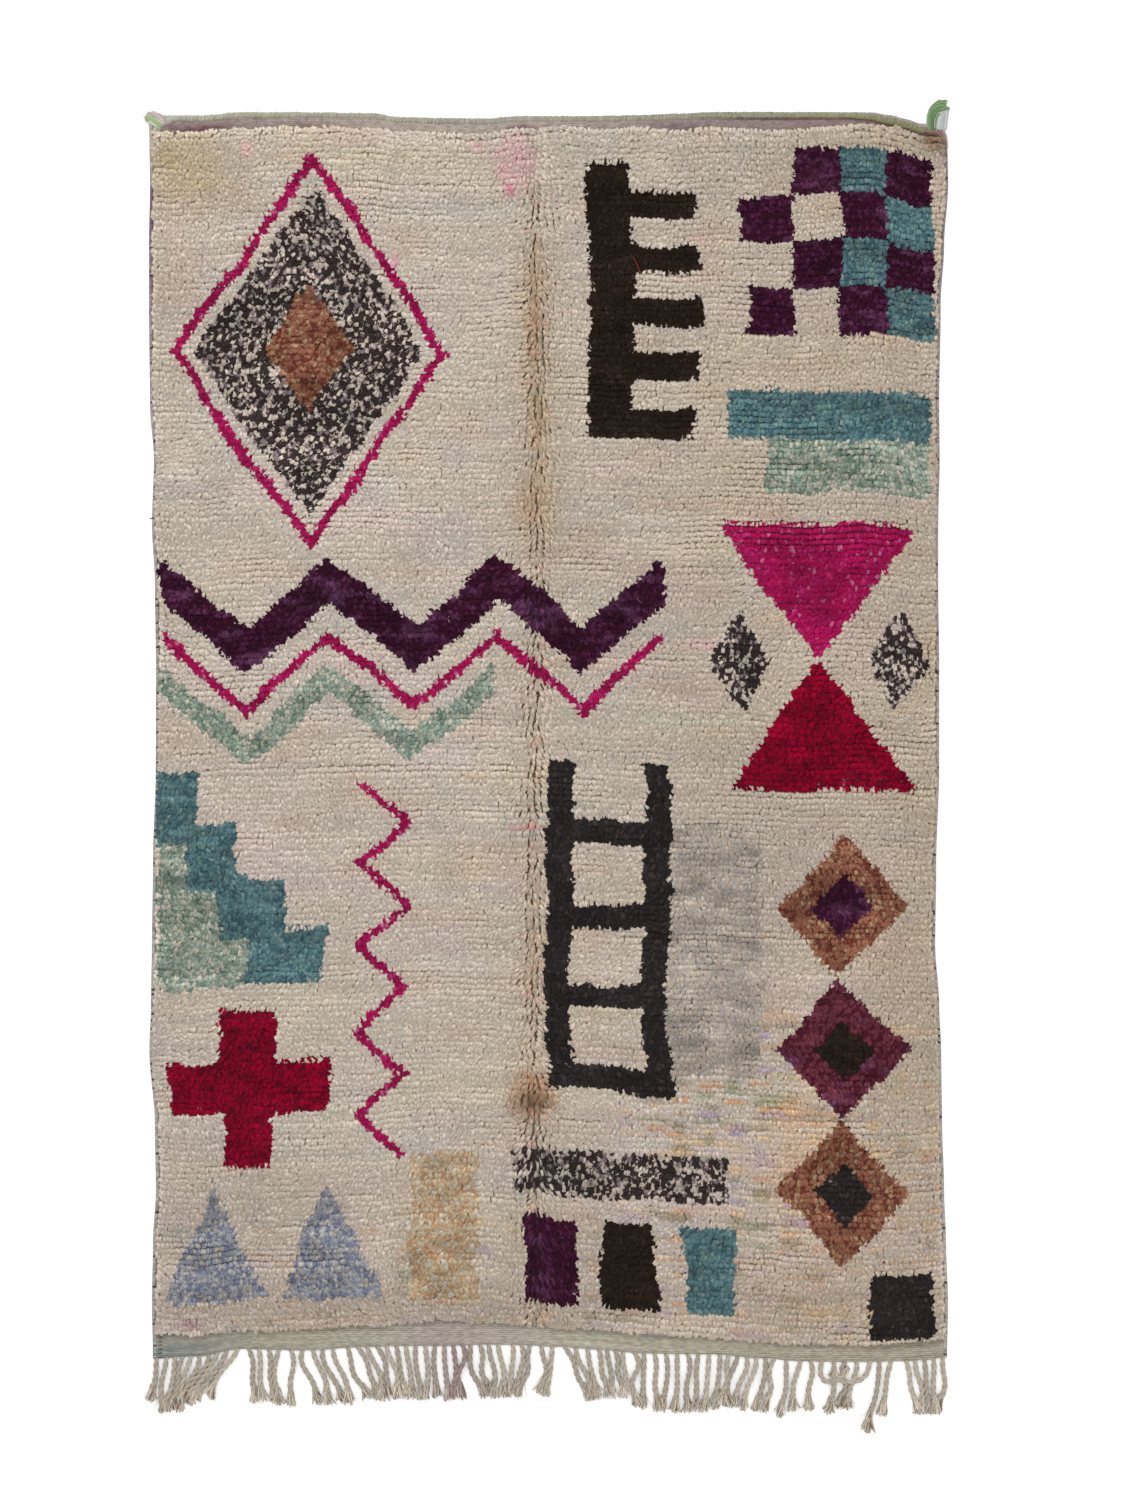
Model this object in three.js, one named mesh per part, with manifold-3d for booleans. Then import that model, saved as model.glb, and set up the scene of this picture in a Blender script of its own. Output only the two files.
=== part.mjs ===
// A hand-knotted azilal rug lying flat on the floor. The cloth is one solid: a pile field with its
// rows of knots, a flat-woven band at each end and low selvedges. Beside it lie the twined heading,
// its two corner tufts and the fringe of twisted warp ends.
// Millimetres, +Z up, underside at z = 0, heading towards +Y, fringe towards -Y.
import * as THREE from 'three';
import { mergeVertices } from 'three/addons/utils/BufferGeometryUtils.js';
import Module from 'manifold-3d';

// Driving dimensions of the cloth.
const clothWidth = 1616;
const clothLength = 2500;
const clothThickness = 4;
const pileHeight = 16;
const lumpHeight = 1.8;
const rowPitch = 11.7;
const rowGroove = 3.2;
const selvedgeWidth = 8;
const pileLean = 5;
const pieceGap = 0.3;

// The soft crease down the middle, where the pile parts.
const creaseX = -28;
const creaseWander = 5;
const creaseDepth = 5;
const creaseHalfWidth = 18;

// The twined heading along the top edge and the strip that carries the fringe.
const headingWidth = 11;
const headingHeight = 6;
const headingLeftEnd = -782;
const headingRightEnd = 764;
const fringeStripWidth = 5;

// One fringe strand: a flat-bottomed twist, lower where it leaves the weave and at its tip.
const strandWidth = 8.6;
const strandSteps = [
  { along: 0, width: 0.7, height: 3.4 },
  { along: 0.16, width: 0.95, height: 5.8 },
  { along: 0.4, width: 1, height: 6.6 },
  { along: 0.64, width: 1, height: 6.6 },
  { along: 0.86, width: 1, height: 6.2 },
  { along: 1, width: 0.8, height: 3.4 },
];

// One lock of a corner tuft, as wide as its fan allows, and the knot that the locks grow from.
const knotRadius = 7;
const knotHeight = 7;
const lockSteps = [
  { along: 0.1, height: 4 },
  { along: 0.55, height: 6.5 },
  { along: 1, height: 3 },
];
const lockShareOfFan = 0.8;

// How far each long side stands in from its straight line, from the top edge down.
const sides = [
  { down: 0, left: 0, right: 5 },
  { down: 141, left: 2, right: 2 },
  { down: 263, left: 0, right: 10 },
  { down: 384, left: 0, right: 17 },
  { down: 586, left: 2, right: 20 },
  { down: 697, left: 10, right: 19 },
  { down: 828, left: 6, right: 22 },
  { down: 949, left: 12, right: 22 },
  { down: 1111, left: 14, right: 20 },
  { down: 1313, left: 14, right: 20 },
  { down: 1515, left: 8, right: 26 },
  { down: 1677, left: 6, right: 28 },
  { down: 1798, left: 4, right: 20 },
  { down: 1889, left: 1, right: 16 },
  { down: 2040, left: 12, right: 14 },
  { down: 2172, left: 14, right: 10 },
  { down: 2283, left: 8, right: 6 },
  { down: 2404, left: 6, right: 2 },
  { down: 2500, left: 8, right: 4 },
];

// The two ends, across the rug: how far the top edge rises, how deep the top band is with its
// heading, how far the lower edge hangs down, and how deep the lower band is.
const ends = [
  { across: -808, topRise: -2, topBand: 33, lowDrop: 12, lowBand: 54 },
  { across: -710, topRise: -3, topBand: 31, lowDrop: 7, lowBand: 46 },
  { across: -620, topRise: 4, topBand: 35, lowDrop: -8, lowBand: 41 },
  { across: -500, topRise: 4, topBand: 31, lowDrop: -5, lowBand: 45 },
  { across: -360, topRise: 2, topBand: 30, lowDrop: -12, lowBand: 44 },
  { across: -300, topRise: -6, topBand: 30, lowDrop: -14, lowBand: 51 },
  { across: -220, topRise: -8, topBand: 30, lowDrop: -14, lowBand: 56 },
  { across: -130, topRise: -9, topBand: 30, lowDrop: -17, lowBand: 50 },
  { across: -60, topRise: -4, topBand: 27, lowDrop: -16, lowBand: 43 },
  { across: 20, topRise: -4, topBand: 20, lowDrop: -12, lowBand: 42 },
  { across: 90, topRise: -4, topBand: 25, lowDrop: -7, lowBand: 45 },
  { across: 190, topRise: -2, topBand: 24, lowDrop: 1, lowBand: 44 },
  { across: 330, topRise: 4, topBand: 24, lowDrop: 3, lowBand: 38 },
  { across: 500, topRise: 4, topBand: 25, lowDrop: 17, lowBand: 40 },
  { across: 650, topRise: 3, topBand: 24, lowDrop: 18, lowBand: 35 },
  { across: 740, topRise: -13, topBand: 22, lowDrop: 16, lowBand: 40 },
  { across: 808, topRise: -24, topBand: 22, lowDrop: 8, lowBand: 40 },
];

// Places where neighbouring rows lie open and the gaps between them are deeper.
const openRows = [
  { down: 814, rows: 5, from: 250, to: 740, extra: 3.5 },
  { down: 1303, rows: 2, from: -520, to: -60, extra: 2.5 },
  { down: 1640, rows: 2, from: 120, to: 700, extra: 3 },
  { down: 1720, rows: 1, from: -700, to: -250, extra: 3 },
  { down: 2275, rows: 4, from: -780, to: -380, extra: 3 },
];

// The fringe, bunch by bunch from the left: where the roots and the tips of its strands lie across
// the rug, and how far below the cloth's straight lower line the tips reach.
const bunches = [
  { strands: 9, rootFrom: -792, rootTo: -657, tipFrom: -801, tipTo: -703, reach: 121 },
  { strands: 1, rootFrom: -628, rootTo: -628, tipFrom: -677, tipTo: -677, reach: 93 },
  { strands: 4, rootFrom: -606, rootTo: -545, tipFrom: -594, tipTo: -547, reach: 105 },
  { strands: 1, rootFrom: -521, rootTo: -521, tipFrom: -519, tipTo: -519, reach: 107 },
  { strands: 4, rootFrom: -497, rootTo: -436, tipFrom: -469, tipTo: -404, reach: 107 },
  { strands: 10, rootFrom: -406, rootTo: -230, tipFrom: -372, tipTo: -228, reach: 97 },
  { strands: 3, rootFrom: -211, rootTo: -175, tipFrom: -206, tipTo: -180, reach: 95 },
  { strands: 4, rootFrom: -158, rootTo: -103, tipFrom: -137, tipTo: -95, reach: 93 },
  { strands: 3, rootFrom: -73, rootTo: -38, tipFrom: -73, tipTo: -49, reach: 89 },
  { strands: 2, rootFrom: -15, rootTo: 7, tipFrom: -14, tipTo: 0, reach: 89 },
  { strands: 3, rootFrom: 31, rootTo: 78, tipFrom: 72, tipTo: 96, reach: 99 },
  { strands: 4, rootFrom: 101, rootTo: 150, tipFrom: 115, tipTo: 154, reach: 93 },
  { strands: 2, rootFrom: 172, rootTo: 192, tipFrom: 174, tipTo: 187, reach: 113 },
  { strands: 2, rootFrom: 213, rootTo: 236, tipFrom: 219, tipTo: 232, reach: 121 },
  { strands: 4, rootFrom: 259, rootTo: 323, tipFrom: 261, tipTo: 315, reach: 121 },
  { strands: 3, rootFrom: 345, rootTo: 381, tipFrom: 333, tipTo: 358, reach: 117 },
  { strands: 2, rootFrom: 399, rootTo: 418, tipFrom: 379, tipTo: 393, reach: 119 },
  { strands: 2, rootFrom: 437, rootTo: 455, tipFrom: 419, tipTo: 438, reach: 125 },
  { strands: 1, rootFrom: 479, rootTo: 479, tipFrom: 467, tipTo: 467, reach: 129 },
  { strands: 2, rootFrom: 508, rootTo: 528, tipFrom: 488, tipTo: 520, reach: 119 },
  { strands: 2, rootFrom: 551, rootTo: 575, tipFrom: 560, tipTo: 573, reach: 125 },
  { strands: 3, rootFrom: 598, rootTo: 644, tipFrom: 590, tipTo: 618, reach: 119 },
  { strands: 1, rootFrom: 667, rootTo: 667, tipFrom: 650, tipTo: 650, reach: 162 },
  { strands: 1, rootFrom: 691, rootTo: 691, tipFrom: 675, tipTo: 675, reach: 127 },
  { strands: 5, rootFrom: 721, rootTo: 795, tipFrom: 737, tipTo: 792, reach: 125 },
];

// The corner tufts lie past the two ends of the heading and fan out between two angles.
const tufts = [
  { name: 'corner_tuft_left', end: headingLeftEnd, away: -1, fan: [142, 180], locks: 4, length: 31 },
  { name: 'corner_tuft_right', end: headingRightEnd, away: 1, fan: [44, 101], locks: 6, length: 49 },
];

const topLine = clothLength / 2;
const lowLine = -clothLength / 2;
const endStations = 33;
const sideStations = 38;
const wasm = await Module();
wasm.setup();

// A seeded source of random numbers from 0 to 1.
function randomSource(seed) {
  let state = seed;
  return () => {
    state = (state * 1664525 + 1013904223) % 4294967296;
    return state / 4294967296;
  };
}

function mix(a, b, share) {
  return a + (b - a) * share;
}

// Even places from one end of a stretch to the other.
function stations(from, to, count) {
  return Array.from({ length: count }, (_, index) => mix(from, to, index / (count - 1)));
}

// Reads one column of a table at a place between its rows, easing from row to row.
function readTable(table, key, column, place) {
  let row = 0;
  while (row < table.length - 2 && place > table[row + 1][key]) {
    row += 1;
  }
  const here = table[row];
  const next = table[row + 1];
  const share = THREE.MathUtils.smoothstep(place, here[key], next[key]);
  return mix(here[column], next[column], share);
}

function leftEdge(y) {
  return -clothWidth / 2 + readTable(sides, 'down', 'left', topLine - y);
}

function rightEdge(y) {
  return clothWidth / 2 - readTable(sides, 'down', 'right', topLine - y);
}

function headingEdge(x) {
  return topLine + readTable(ends, 'across', 'topRise', x);
}

function topEdge(x) {
  return headingEdge(x) - headingWidth - pieceGap;
}

function lowEdge(x) {
  return lowLine - readTable(ends, 'across', 'lowDrop', x);
}

function pileTop(x) {
  return headingEdge(x) - readTable(ends, 'across', 'topBand', x);
}

function pileFoot(x) {
  return lowEdge(x) + readTable(ends, 'across', 'lowBand', x);
}

// Where the cloth's top edge has its points: even steps that include both ends of the heading.
function topStations(left, right) {
  return [left, ...stations(headingLeftEnd, headingRightEnd, endStations), right];
}

function lowStations(left, right) {
  return stations(left, right, endStations);
}

// Points and triangles of one closed body.
class Body {
  constructor() {
    this.points = [];
    this.faces = [];
  }

  point(x, y, z) {
    this.points.push([x, y, z]);
    return this.points.length - 1;
  }

  // Joins two lines of points that run the same way along one axis. Seen from outside, `left` lies
  // to the left of `right` when walking along them. Each triangle steps to the nearer next point.
  bridge(right, left, axis) {
    const place = (index) => this.points[index][axis];
    let i = 0;
    let j = 0;
    while (i < right.length - 1 || j < left.length - 1) {
      const rightIsDone = i === right.length - 1;
      const leftIsDone = j === left.length - 1;
      const rightIsNearer = leftIsDone || (!rightIsDone && place(right[i + 1]) <= place(left[j + 1]));
      if (rightIsNearer) {
        this.faces.push([right[i], right[i + 1], left[j]]);
        i += 1;
      } else {
        this.faces.push([right[i], left[j + 1], left[j]]);
        j += 1;
      }
    }
  }

  geometry() {
    const geometry = new THREE.BufferGeometry();
    geometry.setAttribute('position', new THREE.Float32BufferAttribute(this.points.flat(), 3));
    geometry.setIndex(this.faces.flat());
    return geometry;
  }
}

// How much deeper the gap between two rows is, where it lies open.
function openRowDepth(x, down) {
  const isHere = (place) => x > place.from && x < place.to
    && down > place.down && down < place.down + place.rows * rowPitch;
  return openRows.find(isHere)?.extra ?? 0;
}

// Broad soft lumps of the pile, from -1 to 1.
function lumps(x, y) {
  return 0.45 * Math.sin(x / 97 + y / 61)
    + 0.35 * Math.sin(x / 41 - y / 83 + 1.3)
    + 0.2 * Math.sin(x / 190 - y / 29);
}

// One line of points across the pile, on the ridge of a row or in the gap between two rows.
function pileLine(body, share, isRidge, random) {
  const across = (x) => mix(pileTop(x), pileFoot(x), share);
  const wander = () => (random() - 0.5) * 90;
  const sideStep = () => selvedgeWidth + pileLean + random() * 3;
  const left = leftEdge(across(-clothWidth / 2)) + sideStep();
  const right = rightEdge(across(clothWidth / 2)) - sideStep();
  const crease = creaseX + creaseWander * Math.sin(across(0) / 310);
  const columns = [
    { x: left, fall: 2 },
    { x: mix(left, crease, 0.33) + wander(), fall: 0 },
    { x: mix(left, crease, 0.67) + wander(), fall: 0 },
    { x: crease - creaseHalfWidth, fall: 0 },
    { x: crease, fall: creaseDepth },
    { x: crease + creaseHalfWidth, fall: 0 },
    { x: mix(crease, right, 0.33) + wander(), fall: 0 },
    { x: mix(crease, right, 0.67) + wander(), fall: 0 },
    { x: right, fall: 2 },
  ];
  return columns.map(({ x, fall }) => {
    const y = across(x);
    const gap = isRidge ? 0 : rowGroove + openRowDepth(x, topLine - y);
    return body.point(x, y, pileHeight + lumpHeight * (lumps(x, y) - 1) - fall - gap);
  });
}

// The loop of the cloth at one height, as four lines that share their corners. `inset` draws the
// sides in, and `atPile` takes the ends to the pile instead of the cloth's own edges.
function clothLoop(body, z, inset, atPile) {
  const topOf = atPile ? pileTop : topEdge;
  const lowOf = atPile ? pileFoot : lowEdge;
  const leftOf = (y) => leftEdge(y) + inset;
  const rightOf = (y) => rightEdge(y) - inset;
  const cornerLeft = -clothWidth / 2;
  const cornerRight = clothWidth / 2;
  const topPlaces = topStations(leftOf(topOf(cornerLeft)), rightOf(topOf(cornerRight)));
  const lowPlaces = lowStations(leftOf(lowOf(cornerLeft)), rightOf(lowOf(cornerRight)));
  const top = topPlaces.map((x) => body.point(x, topOf(x), z));
  const low = lowPlaces.map((x) => body.point(x, lowOf(x), z));
  const side = (edge, from, to) => {
    const places = stations(body.points[from][1], body.points[to][1], sideStations);
    return [from, ...places.slice(1, -1).map((y) => body.point(edge(y), y, z)), to];
  };
  return {
    top,
    low,
    left: side(leftOf, low[0], top[0]),
    right: side(rightOf, low.at(-1), top.at(-1)),
  };
}

// Joins a loop to the next one inwards or upwards.
function bridgeLoops(body, outer, inner) {
  body.bridge(outer.low, inner.low, 0);
  body.bridge(inner.top, outer.top, 0);
  body.bridge(inner.left, outer.left, 1);
  body.bridge(outer.right, inner.right, 1);
}

// Closes the underside of a loop with triangles that face down.
function closeUnderside(body, loop) {
  const outline = [
    ...loop.low.slice(0, -1),
    ...loop.right.slice(0, -1),
    ...loop.top.slice(1).reverse(),
    ...loop.left.slice(1).reverse(),
  ];
  const contour = outline.map((index) => new THREE.Vector2(...body.points[index]));
  for (const [a, b, c] of THREE.ShapeUtils.triangulateShape(contour, [])) {
    body.faces.push([outline[a], outline[c], outline[b]]);
  }
}

function clothGeometry() {
  const body = new Body();
  const random = randomSource(41);
  const rows = Math.round((pileTop(0) - pileFoot(0)) / rowPitch);
  const lines = [];
  for (let line = 2 * rows; line >= 0; line -= 1) {
    lines.push(pileLine(body, line / (2 * rows), line % 2 === 1, random));
  }
  for (let line = 1; line < lines.length; line += 1) {
    body.bridge(lines[line - 1], lines[line], 0);
  }
  const pileRim = {
    low: lines[0],
    top: lines.at(-1),
    left: lines.map((line) => line[0]),
    right: lines.map((line) => line.at(-1)),
  };
  const pileBase = clothLoop(body, clothThickness, selvedgeWidth, true);
  const upperEdge = clothLoop(body, clothThickness, 0, false);
  const underEdge = clothLoop(body, 0, 0, false);
  bridgeLoops(body, pileBase, pileRim);
  bridgeLoops(body, upperEdge, pileBase);
  bridgeLoops(body, underEdge, upperEdge);
  closeUnderside(body, underEdge);
  return body.geometry();
}

// Four points of a flat-bottomed section that lies on the floor across a direction of travel.
function lyingSection(x, y, direction, width, height) {
  const halfX = -Math.sin(direction) * width / 2;
  const halfY = Math.cos(direction) * width / 2;
  const topShare = 0.5;
  return [
    [x + halfX, y + halfY, 0],
    [x - halfX, y - halfY, 0],
    [x - halfX * topShare, y - halfY * topShare, height],
    [x + halfX * topShare, y + halfY * topShare, height],
  ];
}

// A closed bar through a row of sections that all have the same number of points.
function barGeometry(sections) {
  const body = new Body();
  const rings = sections.map((section) => section.map((place) => body.point(...place)));
  const sideCount = rings[0].length;
  for (let ring = 1; ring < rings.length; ring += 1) {
    const here = rings[ring - 1];
    const next = rings[ring];
    for (let side = 0; side < sideCount; side += 1) {
      const after = (side + 1) % sideCount;
      body.faces.push([here[side], next[side], next[after]]);
      body.faces.push([here[side], next[after], here[after]]);
    }
  }
  const first = rings[0];
  const last = rings.at(-1);
  for (let side = 2; side < sideCount; side += 1) {
    body.faces.push([first[0], first[side - 1], first[side]]);
    body.faces.push([last[0], last[side], last[side - 1]]);
  }
  return body.geometry();
}

// The heading is a low bar with a rounded top, held along the cloth's top edge.
function headingGeometry() {
  const shoulder = 2;
  const sections = stations(headingLeftEnd, headingRightEnd, endStations).map((x) => {
    const outer = headingEdge(x);
    const inner = outer - headingWidth;
    return [
      [x, outer, 0],
      [x, inner, 0],
      [x, inner, clothThickness],
      [x, inner + shoulder, headingHeight],
      [x, outer - shoulder, headingHeight],
      [x, outer, clothThickness - 1],
    ];
  });
  return barGeometry(sections);
}

// Places along the cloth's lower edge, corner to corner, where the fringe's strip has its points.
function stripPlaces() {
  const left = leftEdge(lowEdge(-clothWidth / 2));
  const right = rightEdge(lowEdge(clothWidth / 2));
  return lowStations(left, right);
}

// The middle of the strip where a strand has its root, on the straight run between two points.
function stripMiddle(x) {
  const places = stripPlaces();
  const next = places.findIndex((place) => place > x);
  const share = (x - places[next - 1]) / (places[next] - places[next - 1]);
  const edge = mix(lowEdge(places[next - 1]), lowEdge(places[next]), share);
  return edge - pieceGap - fringeStripWidth / 2;
}

// The last picks of the weave, parted from the cloth's lower edge, that the strands hang from.
function fringeStripGeometry() {
  const sections = stripPlaces().map((x) => {
    const inner = lowEdge(x) - pieceGap;
    const outer = inner - fringeStripWidth;
    return [
      [x, inner, 0],
      [x, outer, 0],
      [x, outer, clothThickness],
      [x, inner, clothThickness],
    ];
  });
  return barGeometry(sections);
}

function strandGeometry(root, tip, reach) {
  const towardsFringe = -Math.PI / 2;
  const rootY = stripMiddle(root);
  const tipY = lowLine - reach;
  const sections = strandSteps.map(({ along, width, height }) => {
    const x = mix(root, tip, THREE.MathUtils.smoothstep(along, 0, 1));
    const y = mix(rootY, tipY, along);
    return lyingSection(x, y, towardsFringe, strandWidth * width, height);
  });
  return barGeometry(sections);
}

// Each bunch spreads its strands evenly between its first and last, some a little shorter.
function strandGeometries() {
  const random = randomSource(7);
  return bunches.flatMap(({ strands, rootFrom, rootTo, tipFrom, tipTo, reach }) => {
    const shareOf = (index) => (strands === 1 ? 0 : index / (strands - 1));
    return Array.from({ length: strands }, (_, index) => {
      const root = mix(rootFrom, rootTo, shareOf(index));
      const tip = mix(tipFrom, tipTo, shareOf(index));
      const shorter = strands === 1 ? 0 : random() * 12;
      return strandGeometry(root, tip, reach - shorter);
    });
  });
}

// A flattened round knot that lies on the floor.
function knotGeometry(x, y) {
  const corners = 10;
  const rings = [
    { radius: knotRadius - 2, z: 0 },
    { radius: knotRadius, z: knotHeight / 2 },
    { radius: knotRadius - 2, z: knotHeight },
  ];
  return barGeometry(rings.map(({ radius, z }) => Array.from({ length: corners }, (_, corner) => {
    const angle = -2 * Math.PI * corner / corners;
    return [x + radius * Math.cos(angle), y + radius * Math.sin(angle), z];
  })));
}

function tuftGeometries({ end, away, fan, locks, length }) {
  const x = end + away * (pieceGap + knotRadius);
  const y = topEdge(x) + knotRadius + 1;
  const [firstAngle, lastAngle] = fan.map(THREE.MathUtils.degToRad);
  const angles = stations(firstAngle, lastAngle, locks);
  const widthShare = lockShareOfFan * (lastAngle - firstAngle) / (locks - 1);
  const lock = (angle) => barGeometry(lockSteps.map(({ along, height }) => {
    const reach = along * length;
    const placeX = x + reach * Math.cos(angle);
    const placeY = y + reach * Math.sin(angle);
    return lyingSection(placeX, placeY, angle, reach * widthShare, height);
  }));
  return [knotGeometry(x, y), ...angles.map(lock)];
}

// Fuses several closed geometries into one.
function fuse(geometries) {
  const solids = geometries.map((geometry) => {
    const merged = mergeVertices(geometry);
    const vertProperties = Float32Array.from(merged.attributes.position.array);
    const triVerts = Uint32Array.from(merged.index.array);
    return new wasm.Manifold(new wasm.Mesh({ numProp: 3, vertProperties, triVerts }));
  });
  const mesh = solids.reduce((whole, solid) => whole.add(solid)).getMesh();
  const geometry = new THREE.BufferGeometry();
  geometry.setAttribute('position', new THREE.Float32BufferAttribute(mesh.vertProperties, 3));
  geometry.setIndex(Array.from(mesh.triVerts));
  return geometry;
}

function piece(name, geometry, color, roughness) {
  geometry.computeVertexNormals();
  const material = new THREE.MeshStandardMaterial({ color, roughness, metalness: 0 });
  const mesh = new THREE.Mesh(geometry, material);
  mesh.name = name;
  return mesh;
}

const rug = new THREE.Group();
rug.add(piece('rug', clothGeometry(), 0xcdbea5, 0.95));
rug.add(piece('twined_heading', headingGeometry(), 0x6f8a58, 0.9));
rug.add(piece('fringe', fuse([fringeStripGeometry(), ...strandGeometries()]), 0xa5967f, 0.92));
for (const tuft of tufts) {
  rug.add(piece(tuft.name, fuse(tuftGeometries(tuft)), 0x6fa055, 0.9));
}

// The origin lies on the floor below the middle of everything, fringe and tufts included.
const middle = new THREE.Box3().setFromObject(rug).getCenter(new THREE.Vector3());
rug.position.set(-middle.x, -middle.y, 0);

const model = new THREE.Group();
model.add(rug);
export default model;
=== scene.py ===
"""The looks of a hand-knotted azilal rug that lies flat on a pale floor.

Sizes are in millimetres as in the part's source, and become metres where a mesh is made.
"""
import math

import bpy
import numpy as np
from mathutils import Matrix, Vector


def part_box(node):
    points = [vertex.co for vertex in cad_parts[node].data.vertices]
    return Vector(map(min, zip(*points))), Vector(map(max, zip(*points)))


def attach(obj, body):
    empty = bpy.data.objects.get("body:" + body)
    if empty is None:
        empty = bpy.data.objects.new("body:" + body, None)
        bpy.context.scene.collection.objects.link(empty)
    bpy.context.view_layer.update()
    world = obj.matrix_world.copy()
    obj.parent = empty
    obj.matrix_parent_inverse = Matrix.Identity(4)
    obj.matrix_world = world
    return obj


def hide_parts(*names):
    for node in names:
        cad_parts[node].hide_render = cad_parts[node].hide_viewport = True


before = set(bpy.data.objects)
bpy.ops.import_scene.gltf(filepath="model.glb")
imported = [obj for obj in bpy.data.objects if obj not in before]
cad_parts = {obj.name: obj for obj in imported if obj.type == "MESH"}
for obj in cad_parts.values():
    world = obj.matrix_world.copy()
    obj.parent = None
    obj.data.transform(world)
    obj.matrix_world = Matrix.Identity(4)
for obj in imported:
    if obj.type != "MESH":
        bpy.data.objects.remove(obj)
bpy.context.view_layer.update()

scene = bpy.context.scene

MM = 0.001

# The cloth, as the part's source has it.
CLOTH_WIDTH = 1616
CLOTH_LENGTH = 2500
TOP_LINE = CLOTH_LENGTH / 2
LOW_LINE = -CLOTH_LENGTH / 2
PILE_HEIGHT = 16
LUMP_HEIGHT = 1.8
ROW_PITCH = 11.7
SELVEDGE_WIDTH = 8
HEADING_WIDTH = 11
HEADING_GAP = 0.3
HEADING_LEFT_END = -782
HEADING_RIGHT_END = 764
CREASE_X = -28
CREASE_WANDER = 5
CREASE_WAVE = 310
CREASE_DEPTH = 5
CREASE_HALF_WIDTH = 18
FRINGE_LOWEST = LOW_LINE - 162

# What only the looks have.
SHEET_THICKNESS = 1.8
BED_HEIGHT = 9
BAND_FOOT = SHEET_THICKNESS - 0.6
BAND_TOP = 4.2
TUFT_FOOT = SHEET_THICKNESS - 0.4
TUFT_PITCH = 6.3
TUFT_LENGTHS = (11.5, 16)
TUFT_WIDTHS = (9, 12)
PILE_STRIPS = 5
FURROW_WIDTH = 12
FURROW_PUSH = 4.4
CREASE_SPREAD = 40
STITCH_PITCH = 3.7
STITCH_THICKNESS = 4.6
OVERCAST_PITCH = 4.4
OVERCAST_INSET = 4.6
DARK_OVERCAST_SHARE = 0.06
STRAND_STEPS = 18
STRAND_TURNS_A_METRE = 34
TIP_FIBRES = 27
LOOSE_TIP_FIBRES = 5
DYE_LIFT = 1.3
NOISE_CELLS = 128
MAP_MARGIN = 0.04

# The seed of each piece's own random numbers. Every call of soft_noise has a seed too.
SEEDS = {
    "underside": 77,
    "pile": 20,
    "heading": 31,
    "left_selvedge": 13,
    "right_selvedge": 14,
    "fringe": 7,
    "left_tuft": 14,
    "right_tuft": 15,
    "stray_fibres": 3,
}

# How far each long side stands in from its straight line, from the top edge down.
SIDES = {
    "down": [0, 141, 263, 384, 586, 697, 828, 949, 1111, 1313, 1515, 1677, 1798, 1889, 2040, 2172,
             2283, 2404, 2500],
    "left": [0, 2, 0, 0, 2, 10, 6, 12, 14, 14, 8, 6, 4, 1, 12, 14, 8, 6, 8],
    "right": [5, 2, 10, 17, 20, 19, 22, 22, 20, 20, 26, 28, 20, 16, 14, 10, 6, 2, 4],
}

# Across the rug: the rise of the top edge, the depth of the top band with its heading, the drop of
# the lower edge, and the depth of the lower band.
ENDS = {
    "across": [-808, -710, -620, -500, -360, -300, -220, -130, -60, 20, 90, 190, 260, 330, 430,
               510, 590, 650, 690, 720, 750, 808],
    "top_rise": [-2, -3, 4, 4, 2, -6, -8, -9, -4, -4, -4, -2, 1, 4, 4, 4, 4, 3, -3, -11, -20, -34],
    "top_band": [33, 31, 35, 31, 30, 30, 30, 30, 27, 20, 25, 26, 33, 31, 34, 33, 25, 23, 24, 25,
                 24, 12],
    "low_drop": [12, 7, -8, -5, -12, -14, -14, -17, -16, -12, -7, 1, 2, 3, 11, 17, 18, 18, 17, 17,
                 15, 8],
    "low_band": [54, 46, 41, 45, 44, 51, 56, 50, 43, 42, 45, 44, 41, 38, 39, 40, 37, 35, 37, 39,
                 40, 40],
}

# Places where neighbouring rows lie open: down from the top, rows, from, to.
OPEN_ROWS = [
    (814, 5, 250, 740),
    (1303, 2, -520, -60),
    (1640, 2, 120, 700),
    (1720, 1, -700, -250),
    (2275, 4, -780, -380),
]

# The fringe, bunch by bunch: strands, roots from and to, tips from and to, reach.
BUNCHES = [
    (1, -792, -792, -799, -799, 98),
    (4, -772, -722, -783, -742, 124),
    (4, -706, -650, -734, -702, 108),
    (1, -628, -628, -677, -677, 93),
    (4, -606, -545, -594, -547, 105),
    (1, -521, -521, -519, -519, 107),
    (4, -497, -436, -469, -404, 107),
    (10, -406, -230, -372, -228, 97),
    (3, -211, -175, -206, -180, 95),
    (4, -158, -103, -137, -95, 93),
    (3, -73, -38, -73, -49, 89),
    (2, -15, 7, -14, 0, 89),
    (3, 31, 78, 72, 96, 99),
    (4, 101, 150, 115, 154, 93),
    (2, 172, 192, 174, 187, 113),
    (2, 213, 236, 219, 232, 121),
    (4, 259, 323, 261, 315, 121),
    (3, 345, 381, 333, 358, 117),
    (2, 399, 418, 379, 393, 119),
    (2, 437, 455, 419, 438, 125),
    (1, 479, 479, 467, 467, 129),
    (2, 508, 528, 488, 520, 119),
    (2, 551, 575, 560, 573, 125),
    (3, 598, 644, 590, 618, 119),
    (1, 667, 667, 650, 650, 162),
    (1, 691, 691, 675, 675, 127),
    (5, 721, 795, 737, 792, 125),
]

# Two strands hook into each other: their bunches and places there, and their ways.
HOOKED_STRANDS = {
    (598, 2): [(648, -1266), (642, -1294), (624, -1308), (598, -1310), (580, -1300)],
    (551, 0): [(551, -1264), (546, -1290), (554, -1308), (576, -1309), (594, -1292)],
}

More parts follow.
